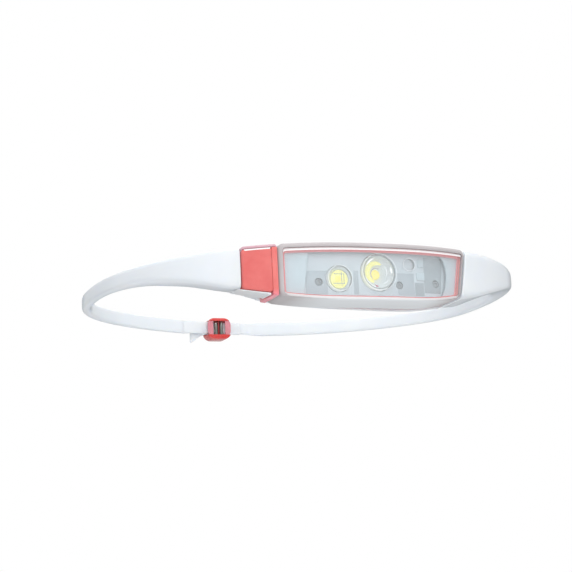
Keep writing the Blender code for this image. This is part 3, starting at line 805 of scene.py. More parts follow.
@dataclass
class HeadBand:
    """The one-piece silicone band, from its fixed end in the buckle, round the front, to its free tail."""

    plan: Plan
    points_round: int = 40
    thin_power: float = 4.5
    strap_power: float = 4.0
    ledge_power: float = 8.0
    saddle_power: float = 7.0
    wing_power: float = 9.0
    layer: float = 2.0
    lap_gap: float = 0.3
    ledge_depth: float = 10.6
    saddle_wall: float = 2.3
    seat_gap: float = 0.3
    case_end: float = 2.2
    lip: float = 0.7
    sections: list[Section] = field(default_factory=list)

    def power_at(self, x: float) -> float:
        """How square the section is: squarer beside the light unit than in the straps."""
        return mix(self.wing_power, self.strap_power, smooth((abs(x) - 50) / 40))

    def add_fixed_end(self) -> None:
        """Adds the left strap's thin end, the inner layer in the buckle, from its tip to the left."""
        tip, step = 3.6, 0.4
        for k in range(80):
            x = -tip - step * k
            share = smooth((-x - 28) / 7)
            low, high = self.plan.rear_heights(x)
            thick = mix(self.layer - self.lap_gap, self.plan.strap, share)
            inner = Vector((x, self.plan.rear_y(x) - self.plan.strap))
            outer = inner + Vector((0, thick))
            slack = 0.2 * (1 - share)
            self.sections.append(Section(outer, inner, low + slack, high - slack, self.thin_power))

    def add_back(self, side: int, start_x: float) -> None:
        """Adds the back half on one side.

        Args:
            side: -1 for the left and 1 for the right.
            start_x: how far from the middle it starts or ends.
        """
        plan = self.plan
        power = 2 / plan.power
        start = math.asin((start_x / plan.half_width) ** (plan.power / 2))
        turns = 60
        found = []
        for i in range(turns):
            angle = mix(start, math.pi / 2, i / turns)
            across, along = math.sin(angle) ** power, math.cos(angle) ** power
            outer = Vector((side * plan.half_width * across, plan.ring_y + plan.rear_reach * along))
            inner_x = side * (plan.half_width - plan.strap) * across
            inner = Vector((inner_x, plan.ring_y + (plan.rear_reach - plan.strap) * along))
            found.append(Section(outer, inner, *plan.rear_heights(outer.x), self.strap_power))
        self.sections += found if side < 0 else found[::-1]

    def wing(self, x: float, sunk: float = 0.0) -> Section:
        """A section of a wing.

        Args:
            x: its place.
            sunk: how far its outer face and edges are drawn in, where the wing ends.

        Returns:
            The section.
        """
        plan = self.plan
        outer = Vector((x, plan.front_y(x) + sunk))
        low, high = plan.low_z(x) + sunk, plan.top_z(x) - sunk
        return Section(outer, plan.inner_of(x), low, high, self.power_at(x), plan.lift(x))

    def flank(self) -> list[float]:
        """Places along a wing, close together at the side of the head.

        Returns:
            Distances from the middle, from the side of the head to the light unit.
        """
        plan = self.plan
        near = -plan.button_left + 2.2
        turns = [math.radians(a) for a in range(0, 64)]
        return [x for x in (plan.half_width * math.cos(t) ** (2 / plan.power) for t in turns) if x > near]

    def lip_places(self, edge: float, side: int) -> list[tuple[float, float]]:
        """Places of the rounded end of a wing.

        Args:
            edge: where the wing ends.
            side: -1 for the left wing and 1 for the right.

        Returns:
            (x, sunk) for each section, from the whole one to the last.
        """
        turns = 5
        found = []
        for k in range(turns + 1):
            t = math.pi / 2 * k / turns
            found.append((edge + side * self.lip * (1 - math.sin(t)), self.lip * (1 - math.cos(t))))
        return found

    def add_front(self) -> None:
        """Adds the left wing, the button's ledge, the saddle behind the light unit and the right wing."""
        plan = self.plan
        self.sections += [self.wing(-x) for x in self.flank()]
        left = plan.button_left - self.seat_gap
        self.sections += [self.wing(x, sunk) for x, sunk in self.lip_places(left, -1)]
        step = plan.unit_left - self.case_end - self.seat_gap
        for k in range(14):
            x = mix(plan.button_left, step - 0.3, k / 13)
            shelf = Vector((x, plan.front_y(x) + self.ledge_depth))
            start = plan.climb(x, self.ledge_depth)
            low, rest = plan.low_z(x) + start, plan.lift(x) - start
            self.sections.append(Section(shelf, plan.inner_of(x), low, plan.top_z(x), self.ledge_power, rest))
        right = plan.unit_right + self.seat_gap
        for k in range(70):
            x = mix(step, right, k / 69)
            back = plan.inner_of(x)
            front = back - Vector((0, self.saddle_wall))
            start = max(plan.climb(x, front.y - plan.front_y(x)), 0.0)
            low, rest = plan.low_z(x) + start, plan.lift(x) - start
            self.sections.append(Section(front, back, low, plan.top_z(x), self.saddle_power, rest))
        self.sections += [self.wing(x + 0.3, sunk) for x, sunk in self.lip_places(right, 1)[::-1]]
        self.sections += [self.wing(mix(right + 1.6, -plan.button_left + 2, k / 18)) for k in range(19)]
        self.sections += [self.wing(x) for x in self.flank()[::-1]]

    def add_free_end(self) -> None:
        """Adds the right strap's thin end, the outer layer in the buckle, and its short tail."""
        # x, share of the full thickness, middle height, half its width, how far it peels outwards
        stations = (
            (14, 1.0, 17.5, 3.3, 0), (10, 1.0, 17.5, 3.3, 0), (6, 0.6, 17.55, 3.2, 0), (2, 0, 17.7, 2.9, 0),
            (-3, 0, 17.8, 2.6, 0), (-9, 0, 17.8, 2.5, 0), (-16, 0, 17.4, 2.5, 0), (-23.5, 0, 16.7, 2.4, 0),
            (-26, 0, 15.4, 2.5, 0.3), (-28.6, 0, 13.5, 2.6, 0.9), (-31.2, 0, 12.2, 2.6, 1.6),
        )
        for k in range(101):
            x = mix(10.0, -30.0, k / 100)
            reads = [along_table(stations, x + shift) for shift in (-1.2, -0.6, 0, 0.6, 1.2)]
            whole, middle, half, peel = (sum(column) / len(reads) for column in zip(*reads))
            outer = Vector((x, self.plan.rear_y(x) + peel))
            inner = outer - Vector((0, mix(self.layer, self.plan.strap, whole)))
            self.sections.append(Section(outer, inner, middle - half, middle + half, self.thin_power))

    def cradle(self) -> bpy.types.Object:
        """The silicone lip that runs on under the button, out to the front.

        Returns:
            The lip, for joining to the band.
        """
        plan = self.plan
        left, right = plan.button_left - 1.6, -43.9
        thick = 9.9
        columns = []
        for k in range(24):
            x = mix(left, right, k / 23)
            columns.append((x, plan.low_z(x) + 0.02, plan.low_z(x) + mix(0.25, 0.85, k / 23)))
        edges = Inset(0.1, 0.3, 0.2, 0.3)
        form = CurvedPlate(plan, columns, 0.35, thick, Fillets(edges, edges, True), rows=2).build()
        for vert in form.verts:
            spot = vert.co / MM
            low = plan.low_z(spot.x)
            depth = spot.y - plan.front_y(spot.x)
            if depth > 0.5 * thick:
                share = (spot.x - left) / (right - left)
                floor = min(plan.climb(spot.x, depth), mix(0.2, 0.4, share))
                vert.co.z = (low + max(min(spot.z - low, 0.45), floor)) * MM
        return shape_of("cradle", form, SOFT_EDGE)

    def build(self, finishes: Finishes) -> None:
        """Builds the band.

        Args:
            finishes: the headlamp's finishes.
        """
        self.add_fixed_end()
        self.add_back(-1, 36.0)
        self.add_front()
        self.add_back(1, 12.0)
        self.add_free_end()
        turns = [2 * math.pi * k / self.points_round for k in range(self.points_round)]
        form = wrapped_grid(
            len(self.sections), self.points_round,
            lambda i, j: self.plan.leaned(self.sections[i].point(turns[j])), False, True,
        )
        close_ends(form, 0.4)
        piece = shape_of("silicone_band", form, SOFT_EDGE)
        settle(piece, [self.cradle()], "UNION", SOFT_EDGE)
        dress(piece, finishes.silicone, Body.BAND, "clear_silicone", "head_band")
        log.info("silicone band: %d sections", len(self.sections))


# ---- the light unit


@dataclass(frozen=True)
class Inset:
    """How far an outline lies inside the light unit's edges."""

    left: float
    low: float
    high: float
    right: float

    def grown(self, by: float) -> "Inset":
        """The outline moved inwards by a distance."""
        return Inset(self.left + by, self.low + by, self.high + by, self.right + by)

    def scaled(self, share: float) -> "Inset":
        """A share of every inset."""
        return Inset(self.left * share, self.low * share, self.high * share, self.right * share)

    @staticmethod
    def even(by: float) -> "Inset":
        """The same inset all round."""
        return Inset(by, by, by, by)


@dataclass(frozen=True)
class Fillets:
    """How wide and how deep the slope or the rounding is along each side of a plate's front."""

    width: Inset
    depth: Inset
    round_over: bool = False

    def fall(self, left: float, low: float, high: float, right: float) -> float:
        """How far the front lies back at a point.

        Args:
            left, low, high, right: its distances to the four edges.

        Returns:
            The largest of the four falls.
        """
        found = 0.0
        for distance, width, depth in zip(
            (left, low, high, right),
            (self.width.left, self.width.low, self.width.high, self.width.right),
            (self.depth.left, self.depth.low, self.depth.high, self.depth.right),
        ):
            if width <= 0 or distance >= width:
                continue
            share = 1 - distance / width
            if self.round_over:
                share = 1 - math.sqrt(max(1 - share * share, 0.0))
            found = max(found, depth * share)
        return found


@dataclass
class CurvedPlate:
    """A plate that follows the unit's front curve between two sets of columns."""

    plan: Plan
    outline: list
    depth: float
    thick: float
    fillets: Fillets | None = None
    margins: tuple[float, ...] = (0.0, 0.08, 0.2, 0.38, 0.62, 0.95, 1.35, 1.9)
    rows: int = 8
    rounding: float = 0.0

    def heights(self, low: float, high: float) -> list[float]:
        """Row heights, close together at both edges.

        Args:
            low, high: the plate's lower and upper edge.

        Returns:
            The heights, from low to high.
        """
        scale = min(1.0, (high - low) * 0.42 / self.margins[-1])
        lower = [low + m * scale for m in self.margins]
        upper = [high - m * scale for m in reversed(self.margins)]
        return lower + [mix(lower[-1], upper[0], k / self.rows) for k in range(1, self.rows)] + upper

    def build(self) -> bmesh.types.BMesh:
        """Makes the closed plate.

        Returns:
            The plate, its front shaped by the fillets and its back parallel to the unit's front.
        """
        left, right = self.outline[0][0], self.outline[-1][0]
        count = len(self.margins) * 2 + self.rows - 1

        def place(i: int, j: int) -> Vector:
            """A point of the plate's front, from its column and row."""
            x, low, high = self.outline[i]
            z = self.heights(low, high)[j]
            back = self.fillets.fall(x - left, z - low, high - z, right - x) if self.fillets else 0.0
            point = Vector((x, self.plan.front_y(x) + self.depth + back, z))
            return self.plan.leaned(point)

        form = wrapped_grid(len(self.outline), count, place, False, False)
        made = bmesh.ops.extrude_edge_only(form, edges=[edge for edge in form.edges if edge.is_boundary])
        walls = {v for v in made["geom"] if isinstance(v, bmesh.types.BMVert)}
        front = [f for f in form.faces if not any(v in walls for v in f.verts)]
        copy = bmesh.ops.duplicate(form, geom=front)
        for vert in [*walls, *(v for v in copy["geom"] if isinstance(v, bmesh.types.BMVert))]:
            vert.co.y = (self.plan.front_y(vert.co.x / MM) + self.depth + self.thick) * MM
        bmesh.ops.remove_doubles(form, verts=form.verts, dist=2e-6)
        bmesh.ops.recalc_face_normals(form, faces=form.faces)
        if self.rounding:
            shared = [e for e in form.edges if len(e.link_faces) == 2]
            bevel(form, [e for e in shared if e.calc_face_angle(0) > RIGHT_ENOUGH], self.rounding, 3)
        return form


@dataclass
class LightUnit:
    """The light unit: its sleeve, case, window, panel, optics, board, cell, switch and socket."""

    plan: Plan
    sleeve_wall: float = 1.0
    corner: float = 2.4
    sleeve_depth: float = 17.0
    case_edge: float = 2.2
    lip: Inset = Inset(1.9, 0.55, 1.9, 1.0)
    front_round: Inset = Inset(1.5, 0.45, 1.35, 0.8)
    round_depth: float = 1.7
    columns_across: int = 90
    spot: Point = (0.45, 12.2)
    flood: Point = (-16.2, 9.55)
    small: Point = (14.33, 15.87)
    screws: tuple[Point, ...] = ((-24.4, 8.3), (9.7, 7.3), (27.0, 8.6))
    panel_depth: float = 5.2

    def outline(self, inset: Inset, corner: float, count: int = 0) -> list:
        """Columns of an outline inside the unit's edges.

        Args:
            inset: how far inside it lies.
            corner: its corner radius.
            count: how many places lie between the corners.

        Returns:
            (x, lowest z, highest z) for each place, from left to right.
        """
        plan = self.plan
        return plan.columns(
            plan.unit_left + inset.left, plan.unit_right - inset.right, inset.low, inset.high, corner,
            count or self.columns_across,
        )

    def loop(self, inset: Inset, corner: float, depth: float) -> list[Vector]:
        """Points round an outline.

        Args:
            inset: how far it lies inside the unit's edges.
            corner: its corner radius.
            depth: how far it lies behind the front face.

        Returns:
            The points along its lower edge and back along its upper one.
        """
        outline = self.outline(inset, corner)
        lower = [Vector((x, self.plan.front_y(x) + depth, low)) for x, low, _ in outline]
        upper = [Vector((x, self.plan.front_y(x) + depth, high)) for x, _, high in outline]
        return lower + upper[::-1]

    def ring(self, name: str, loops: list[list[Vector]], sharp: float = PLAIN_EDGE) -> bpy.types.Object:
        """A closed ring skinned through loops, the last joining the first."""
        form = wrapped_grid(
            len(loops), len(loops[0]), lambda i, j: self.plan.leaned(loops[i][j]), True, True
        )
        return shape_of(name, form, sharp)

    def surface(self, x: float, depth: float) -> float:
        """The place of a depth behind the front face at x."""
        return self.plan.front_y(x) + depth

    def build_sleeve(self, finishes: Finishes) -> None:
        """The smoke-grey sleeve: full rounded front edges, and a soft inner lip round the window.

        Args:
            finishes: the headlamp's finishes.
        """
        turns = 8
        loops = []
        for k in range(turns + 1):
            t = math.pi / 2 * k / turns
            inset = self.front_round.scaled(1 - math.sin(t))
            loops.append(self.loop(inset, self.corner, 0.04 + self.round_depth * (1 - math.cos(t))))
        back = self.sleeve_depth
        for inset, corner, depth in (
            (0.0, self.corner, back - 0.5), (0.15, self.corner, back - 0.12), (0.45, self.corner, back),
            (self.sleeve_wall, 1.6, back), (self.sleeve_wall, 1.6, 1.25),
        ):
            loops.append(self.loop(Inset.even(inset), corner, depth))
        for depth, spread in ((1.22, 0.0), (0.45, 0.0), (0.2, -0.06), (0.08, -0.12)):
            loops.append(self.loop(self.lip.grown(spread), 1.2, depth))
        piece = self.ring("smoke_sleeve", loops, 40)
        dress(piece, finishes.sleeve, Body.UNIT, "grey_tpu", "case_sleeve")

    def build_window(self, finishes: Finishes) -> None:
        """The window: a clear plate whose sloped rim is frosted white to paint the highlight it catches,
        widest along the top.

        Args:
            finishes: the headlamp's finishes.
        """
        slopes = Fillets(Inset(0.1, 0.75, 1.2, 0.1), Inset(0.1, 0.5, 0.72, 0.1))
        plate = CurvedPlate(
            self.plan, self.outline(self.lip.grown(0.12), 1.1), 0.36, 0.82, slopes,
            margins=(0.0, 0.25, 0.5, 0.8, 1.15),
        )
        form = plate.build()
        piece = shape_of("window", form, 12)
        dress(piece, finishes.clear, Body.UNIT, "clear_polycarbonate", "window_lens")
        # painted highlight: the sloped faces that face forwards take the frosted white
        piece.data.materials.append(finishes.frosted)
        for face in piece.data.polygons:
            if 0.3 < abs(face.normal.z) < 0.9 and face.normal.y < 0:
                face.material_index = 1

    def build_seal(self, finishes: Finishes) -> None:
        """The coral seal round the window, seen through it as a coloured frame.

        Args:
            finishes: the headlamp's finishes.
        """
        outer = Inset.even(self.case_edge)
        inner = Inset(3.1, 2.3, 3.6, 2.32)
        loops = [
            self.loop(inset, corner, depth)
            for inset, corner, depth in (
                (outer, 1.2, 2.3), (inner.grown(-0.2), 0.8, 2.3), (inner.grown(-0.05), 0.8, 2.36),
                (inner, 0.8, 2.5), (inner, 0.8, 2.9), (outer, 1.2, 2.9),
            )
        ]
        dress(self.ring("window_seal_bead", loops), finishes.seal, Body.UNIT, "coral_silicone", "window_seal")

    def build_liner(self, finishes: Finishes) -> None:
        """The pale liner, open over the panel between a straight left side and a bowed right one.

        Args:
            finishes: the headlamp's finishes.
        """
        plate = CurvedPlate(self.plan, self.outline(Inset.even(self.case_edge), 1.2), 3.1, 1.1, rounding=0.08)
        liner = shape_of("pale_liner", plate.build())
        left = [(-31.1, 2.9), (-28.6, 20.2)]
        bow = [(29.0, 20.2), (30.7, 18.1), (31.6, 15.6), (31.9, 12.4), (31.45, 9.0), (30.4, 5.8), (28.8, 2.9)]
        cutter = self.prism("liner_opening", left + bow, -92, -70)
        settle(liner, [cutter], "DIFFERENCE")
        dress(liner, finishes.liner, Body.UNIT, "pale_liner", "light_liner")
        # the bracket's edge: a thin dark bead on the panel's bowed end, a painted shadow line
        points = [Vector((x - 0.15, 0, z)) for x, z in bow]
        bead = self.strip("bracket_bead", points, 3.35, 0.28)
        dress(bead, finishes.shadow, Body.UNIT, "silver_panel")

    def prism(self, name: str, outline: Sequence[Point], front: float, back: float) -> bpy.types.Object:
        """A straight prism along y.

        Args:
            name: its name.
            outline: (x, z) points in order.
            front, back: its ends in y.

        Returns:
            The prism.
        """
        form = bmesh.new()
        ring = [form.verts.new(Vector((x, front, z)) * MM) for x, z in outline]
        bmesh.ops.contextual_create(form, geom=ring)
        made = bmesh.ops.extrude_face_region(form, geom=list(form.faces))
        bmesh.ops.translate(
            form, vec=Vector((0, (back - front) * MM, 0)),
            verts=[v for v in made["geom"] if isinstance(v, bmesh.types.BMVert)],
        )
        return shape_of(name, form)

    def strip(self, name: str, points: Sequence[Vector], depth: float, radius: float) -> bpy.types.Object:
        """A thin round bead along points on the unit's curve.

        Args:
            name: its name.
            points: the points, whose y is not read.
            depth: how far it lies behind the front face.
            radius: the bead's own radius.

        Returns:
            The bead.
        """
        sides = 8
        smoothed = []
        for a, b in zip(points, points[1:]):
            smoothed += [a.lerp(b, k / 4) for k in range(4)]
        smoothed.append(points[-1])

        def place(i: int, j: int) -> Vector:
            """A point of the bead, from its place along it and round it."""
            turn = 2 * math.pi * j / sides
            centre = smoothed[i]
            x = centre.x + radius * math.cos(turn)
            y = self.surface(centre.x, depth) + radius * math.sin(turn)
            return Vector((x, y, centre.z))

        form = wrapped_grid(len(smoothed), sides, place, False, True)
        close_ends(form)
        return shape_of(name, form, BEAD_EDGE)

    def build_panel(self, finishes: Finishes) -> None:
        """The silver panel: its holes, five thin patches of painted shade in two depths, two sensor plates
        and three screws.

        Args:
            finishes: the headlamp's finishes.
        """
        inset = Inset(self.case_edge + 2.5, self.case_edge, self.case_edge, self.case_edge + 1.5)
        plate = CurvedPlate(self.plan, self.outline(inset, 1.1), self.panel_depth - 0.4, 1.2, rows=12)
        panel = shape_of("silver_panel_face", plate.build())
        cutters = []
        lens_holes = [(*self.flood, 5.45), (*self.spot, 7.65)]
        screw_holes = [(x, z, 1.6) for x, z in self.screws]
        for x, z, radius in lens_holes[::-1] + [(*self.small, 2.9)] + screw_holes:
            cutters.append(self.drill(x, z, radius, 64))
        settle(panel, cutters, "DIFFERENCE")
        dress(panel, finishes.panel, Body.UNIT, "silver_panel", "reflector_panel")
        # painted shade: thin darker patches where recesses in the panel would darken it
        patches = (
            ("painted_shade_right", 21.6, 31.6, 4.6, 19.2, finishes.painted_shade_and_tracks),
            ("painted_shade_low", 16.9, 21.4, 3.3, 8.7, finishes.painted_shade_and_tracks),
            ("painted_shade_left", -29.6, -20.9, 3.2, 12.8, finishes.step),
            ("painted_shade_middle", -10.2, -8.1, 3.2, 12.8, finishes.step),
            ("painted_shade_lower", 9.0, 16.6, 3.2, 12.3, finishes.step),
        )
        for name, x0, x1, z0, z1, finish in patches:
            columns = [(mix(x0, x1, k / 12), z0, z1) for k in range(13)]
            softened = Fillets(Inset.even(0.12), Inset.even(0.05), True)
            patch = CurvedPlate(
                self.plan, columns, self.panel_depth - 0.47, 0.3, softened, margins=(0.0, 0.06, 0.15), rows=3,
            )
            inlay = shape_of(name, patch.build(), SOFT_EDGE)
            holes = [
                self.drill(x, z, radius, 40)
                for x, z, radius in screw_holes + lens_holes
                if x0 - radius < x < x1 + radius
            ]
            if holes:
                settle(inlay, holes, "DIFFERENCE", SOFT_EDGE)
            dress(inlay, finish, Body.UNIT, "silver_panel")
        for k, (x0, z0, x1, z1) in enumerate(((17.8, 9.6, 21.4, 12.7), (18.6, 15.0, 21.2, 18.4)), start=1):
            front = self.surface((x0 + x1) / 2, self.panel_depth - 0.9)
            chip = shape_of(f"sensor_plate_{k}", brick((x0, front, z0), (x1, front + 0.5, z1), 0.12))
            nodes = ("side_led",) if k == 1 else ()
            dress(chip, finishes.liner, Body.UNIT, "pale_liner", *nodes)
        for k, (x, z) in enumerate(self.screws, start=1):
            front = self.surface(x, self.panel_depth - 0.1)
            socket = [(0.3, 0), (0.3, 0.55), (0.0, 0.7), (0.0, 1.1)]
            profile = [*socket, *arc(0.3, 1.1, 0.3, 180, 90, 4), (1.6, 1.4), (1.6, 0)]
            head = shape_of(f"screw_head_{k}", turned(profile, (x, front, z), INWARDS, 40))
            dress(head, finishes.dark_steel, Body.UNIT, "stainless_steel", f"panel_screw_{k}")

    def drill(self, x: float, z: float, radius: float, steps: int) -> bpy.types.Object:
        """A round cutter through the panel."""
        length = 24
        profile = [(0, 0), (0, radius), (length, radius), (length, 0)]
        return shape_of("drill", turned(profile, (x, -95, z), INWARDS, steps))

    def lathe(
        self, name: str, profile: Sequence[Point], place: Sequence[float], steps: int,
        finish: bpy.types.Material, slot: str, *nodes: str,
    ) -> None:
        """A turned piece that faces the way the unit does.

        Args:
            name: its name.
            profile: (distance inwards, radius) points.
            place: where its axis starts.
            steps: how many steps make a turn.
            finish: its material.
            slot: the record's material slot.
            nodes: the CAD nodes it stands for.
        """
        piece = shape_of(name, turned(profile, place, INWARDS, steps), SOFT_EDGE)
        dress(piece, finish, Body.UNIT, slot, *nodes)

    def build_spot(self, finishes: Finishes) -> None:
        """The spot light: a stepped clear lens, a silver bowl and the emitter, with a painted reflection of
        the emitter in the bowl, painted violet light, painted highlight rings and arcs, a painted shadow ring
        and a painted reflection of the coral case.

        Args:
            finishes: the headlamp's finishes.
        """
        x, z = self.spot
        front = self.surface(x, 2.75)
        lens = [(0.55, 0.0), (0.56, 1.6), (0.72, 3.4), (1.0, 5.0), (1.35, 6.2)]
        lens += arc(0.62, 6.95, 0.5, 200, 360, 8)[:-2] + [(1.3, 7.5), (2.5, 7.5), (2.5, 0.0)]
        self.lathe(
            "spot_optic", lens, (x, front, z), 96, finishes.optic, "clear_polycarbonate", "spot_lens"
        )
        bowl = [(0.0, 7.3), (0.9, 6.9), (1.9, 5.4), (2.5, 3.6), (2.8, 2.2), (2.85, 0.0)]
        bowl += [(3.3, 0.0), (3.3, 7.3), (0.0, 7.3)]
        self.lathe("spot_bowl", bowl, (x, front + 2.6, z), 72, finishes.bowl, "silver_panel")
        emitter = [(0.0, 0.0), (0.03, 1.2)] + arc(0.4, 1.65, 0.35, 180, 90, 4) + [(0.8, 2.0), (0.8, 0.0)]
        place = (x - 0.25, front + 4.0, z - 0.4)
        self.lathe("spot_emitter", emitter, place, 48, finishes.phosphor, "led_phosphor", "spot_led")
        # painted reflection: a pale yellow crescent where the bowl would mirror the emitter
        self.crescent(
            "spot_painted_phosphor_reflection", (x - 0.2, z + 0.1), front + 2.95, (2.95, 4.95), (58, 252),
            finishes.pale_phosphor_and_reflection, "led_phosphor",
        )
        # painted light: a violet crescent beside the emitter
        self.crescent(
            "spot_painted_violet_crescent", (x - 0.25, z - 0.35), front + 3.2, (2.15, 2.65), (60, 230), finishes.violet_painted_light,
            "silver_panel",
        )
        self.rim("spot_painted_highlight_ring", (x, z), 2.95, 7.42, 0.07, finishes.painted_highlight)
        # painted shade: a thin dark ring at the lens's edge
        self.rim("spot_groove", (x, z), 3.3, 6.75, 0.1, finishes.shadow)
        # painted highlight arcs: inner and outer radius, then where it starts and ends, in degrees
        facets = (
            ((5.5, 6.15), (108, 150)), ((5.2, 6.1), (-4, 22)), ((5.9, 6.3), (195, 262)),
            ((4.9, 5.2), (290, 325)), ((3.4, 3.7), (-30, 48)),
        )
        for k, (radii, run) in enumerate(facets, start=1):
            self.crescent(
                f"spot_painted_highlight_arc_{k}", (x, z), front + 1.3, radii, run, finishes.painted_highlight, "clear_polycarbonate"
            )
        # painted reflection: a small red mark low in the spot lens, where it would mirror the coral case
        mark = self.prism(
            "spot_painted_coral_reflection", [(x - 1.0, z - 4.6), (x + 0.7, z - 5.25), (x - 1.0, z - 5.8), (x - 0.55, z - 5.2)],
            front + 3.0, front + 3.3,
        )
        dress(mark, finishes.painted_coral_reflection_finish, Body.UNIT, "led_phosphor")

    def rim(
        self, name: str, centre: Point, depth: float, radius: float, thick: float, finish: bpy.types.Material
    ) -> None:
        """A thin round bead round a lens, which paints a highlight ring or a shadow ring there.

        Args:
            name: its name.
            centre: the lens's centre.
            depth: how far it lies behind the front face.
            radius: its radius.
            thick: the bead's own radius.
            finish: its material.
        """
        front = self.surface(centre[0], depth)
        turns = [math.pi / 4 * k for k in range(8)]
        profile = [(thick * math.cos(t), radius + thick * math.sin(t)) for t in turns]
        bead = turned(profile + profile[:1], (centre[0], front, centre[1]), INWARDS, 96)
        dress(shape_of(name, bead, BEAD_EDGE), finish, Body.UNIT, "clear_polycarbonate")

    def crescent(
        self, name: str, centre: Point, front: float, radii: Point, run: Point, finish: bpy.types.Material,
        slot: str,
    ) -> None:
        """A rounded band that runs part of the way round a circle and thins to its ends.

        Args:
            name: its name.
            centre: the circle's centre.
            front: its place in y.
            radii: the band's inner and outer radius at its widest.
            run: where it starts and ends, in degrees.
            finish: its material.
            slot: the record's material slot.
        """
        steps, sides, swell = 48, 10, 0.18
        inner, outer = radii
        start, end = (math.radians(angle) for angle in run)

        def place(i: int, j: int) -> Vector:
            """A point of the band, from its place along it and round it."""
            share = i / (steps - 1)
            turn = mix(start, end, share)
            thin = math.sin(math.pi * min(max(share, 0.02), 0.98)) ** 0.35
            middle, half = (inner + outer) / 2, (outer - inner) / 2 * thin
            angle = 2 * math.pi * j / sides
            radius = middle + half * math.cos(angle)
            depth = front + swell * thin * math.sin(angle)
            return Vector((centre[0] + radius * math.cos(turn), depth, centre[1] + radius * math.sin(turn)))

        form = wrapped_grid(steps, sides, place, False, True)
        close_ends(form)
        dress(shape_of(name, form, BEAD_EDGE), finish, Body.UNIT, slot)

    def build_flood(self, finishes: Finishes) -> None:
        """The flood light: a clear ring lens over a phosphor disc and its square chip, with a painted white
        highlight ring on the lens and a painted shadow ring round the disc.

        Args:
            finishes: the headlamp's finishes.
        """
        x, z = self.flood
        front = self.surface(x, 3.0)
        lens = [(0.5, 0.0), (0.55, 2.6), (0.8, 4.3)] + arc(0.55, 4.85, 0.38, 200, 340, 6)
        lens += [(1.0, 5.3), (2.0, 5.3), (2.0, 0.0)]
        self.lathe(
            "flood_optic", lens, (x, front, z), 80, finishes.optic, "clear_polycarbonate", "flood_lens"
        )
        cup = [(0.0, 5.2), (0.5, 4.3), (0.9, 3.9), (1.2, 3.6), (1.2, 0.0), (1.6, 0.0), (1.6, 5.2), (0.0, 5.2)]
        self.lathe("flood_cup", cup, (x, front + 2.1, z), 64, finishes.bowl, "silver_panel")
        disc = [(0.0, 0.0), (0.0, 3.0), (0.1, 3.2)] + arc(0.2, 3.5, 0.28, 200, 20, 5)
        disc += [(0.6, 3.7), (0.6, 0.0)]
        self.lathe(
            "flood_emitter", disc, (x + 0.35, front + 2.6, z - 0.05), 64, finishes.pale_phosphor_and_reflection,
            "led_phosphor", "flood_led",
        )
        self.rim("flood_painted_highlight_ring", (x, z), 3.2, 5.15, 0.06, finishes.painted_highlight)
        # painted shade: a thin dark ring round the emitter's disc
        self.rim("flood_groove", (x + 0.35, z - 0.05), 5.42, 3.85, 0.1, finishes.shadow)
        chip = brick((x - 1.3, front + 2.42, z - 1.1), (x + 0.9, front + 2.9, z + 1.3), 0.1)
        dress(shape_of("flood_chip", chip), finishes.phosphor, Body.UNIT, "led_phosphor")
        tracks = (
            (-1.9, 2.0, 2.6, 2.2), (-2.0, -1.9, 2.8, -1.7), (1.35, -2.6, 1.55, 2.9), (2.35, -2.0, 2.55, 2.0),
        )
        for k, (x0, z0, x1, z1) in enumerate(tracks, start=1):
            wire = brick((x + x0, front + 2.46, z + z0), (x + x1, front + 2.75, z + z1), 0.06)
            dress(shape_of(f"flood_track_{k}", wire), finishes.painted_shade_and_tracks, Body.UNIT, "silver_panel")

    def build_small(self, finishes: Finishes) -> None:
        """The small indicator light: a clear domed cap in a thin painted highlight ring, on a pale seat with
        a painted glow.

        Args:
            finishes: the headlamp's finishes.
        """
        x, z = self.small
        front = self.surface(x, 3.7)
        cap = [(0.55, 0.0), (0.6, 1.0), (0.75, 1.8)] + arc(0.5, 2.4, 0.35, 200, 350, 6)
        cap += [(0.9, 2.8), (2.6, 2.8), (2.6, 0.0)]
        self.lathe("small_optic", cap, (x, front, z), 56, finishes.optic, "clear_polycarbonate", "red_led")
        self.rim("small_painted_highlight_ring", (x, z), 3.8, 2.6, 0.08, finishes.painted_highlight)
        seat = [(0.0, 0.0), (0.0, 2.85), (0.5, 2.85), (0.5, 0.0)]
        self.lathe("small_seat", seat, (x, front + 2.7, z), 48, finishes.bowl, "pale_liner")

    def build_end_cap(self, finishes: Finishes) -> None:
        """The coral end of the case beside the button, with its foot below the button's corner.

        Args:
            finishes: the headlamp's finishes.
        """
        plan = self.plan
        edges = Fillets(Inset(0.2, 0.5, 0.3, 0.2), Inset(0.15, 0.5, 0.3, 0.15), True)
        cap = CurvedPlate(plan, plan.columns(-43.2, -41.18, 0.15, 1.3, 0.3, 6), 0.2, 16.4, edges)
        piece = shape_of("case_end", cap.build(), SOFT_EDGE)
        dress(piece, finishes.case_end, Body.UNIT, "coral_polycarbonate")

    def build_carried(self, finishes: Finishes) -> None:
        """Gives the CAD nodes that are shown as they are their finishes.

        Args:
            finishes: the headlamp's finishes.
        """
        nodes = {
            "case_shell": finishes.coral, "circuit_board": finishes.board, "battery_cell": finishes.foil,
            "battery_pad": finishes.foam, "switch_base": finishes.nylon, "switch_stem": finishes.nylon,
            "charge_socket": finishes.steel, "socket_tongue": finishes.nylon,
            "lead_positive": finishes.wire_red, "lead_negative": finishes.wire_black,
        }
        for name, finish in nodes.items():
            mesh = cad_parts[name].data
            mesh.materials.clear()
            mesh.materials.append(finish)

    def build(self, finishes: Finishes) -> None:
        """Builds the light unit.

        Args:
            finishes: the headlamp's finishes.
        """
        self.build_carried(finishes)
        self.build_sleeve(finishes)
        self.build_window(finishes)
        self.build_seal(finishes)
        self.build_liner(finishes)
        self.build_panel(finishes)
        self.build_spot(finishes)
        self.build_flood(finishes)
        self.build_small(finishes)
        self.build_end_cap(finishes)
        log.info("light unit built")


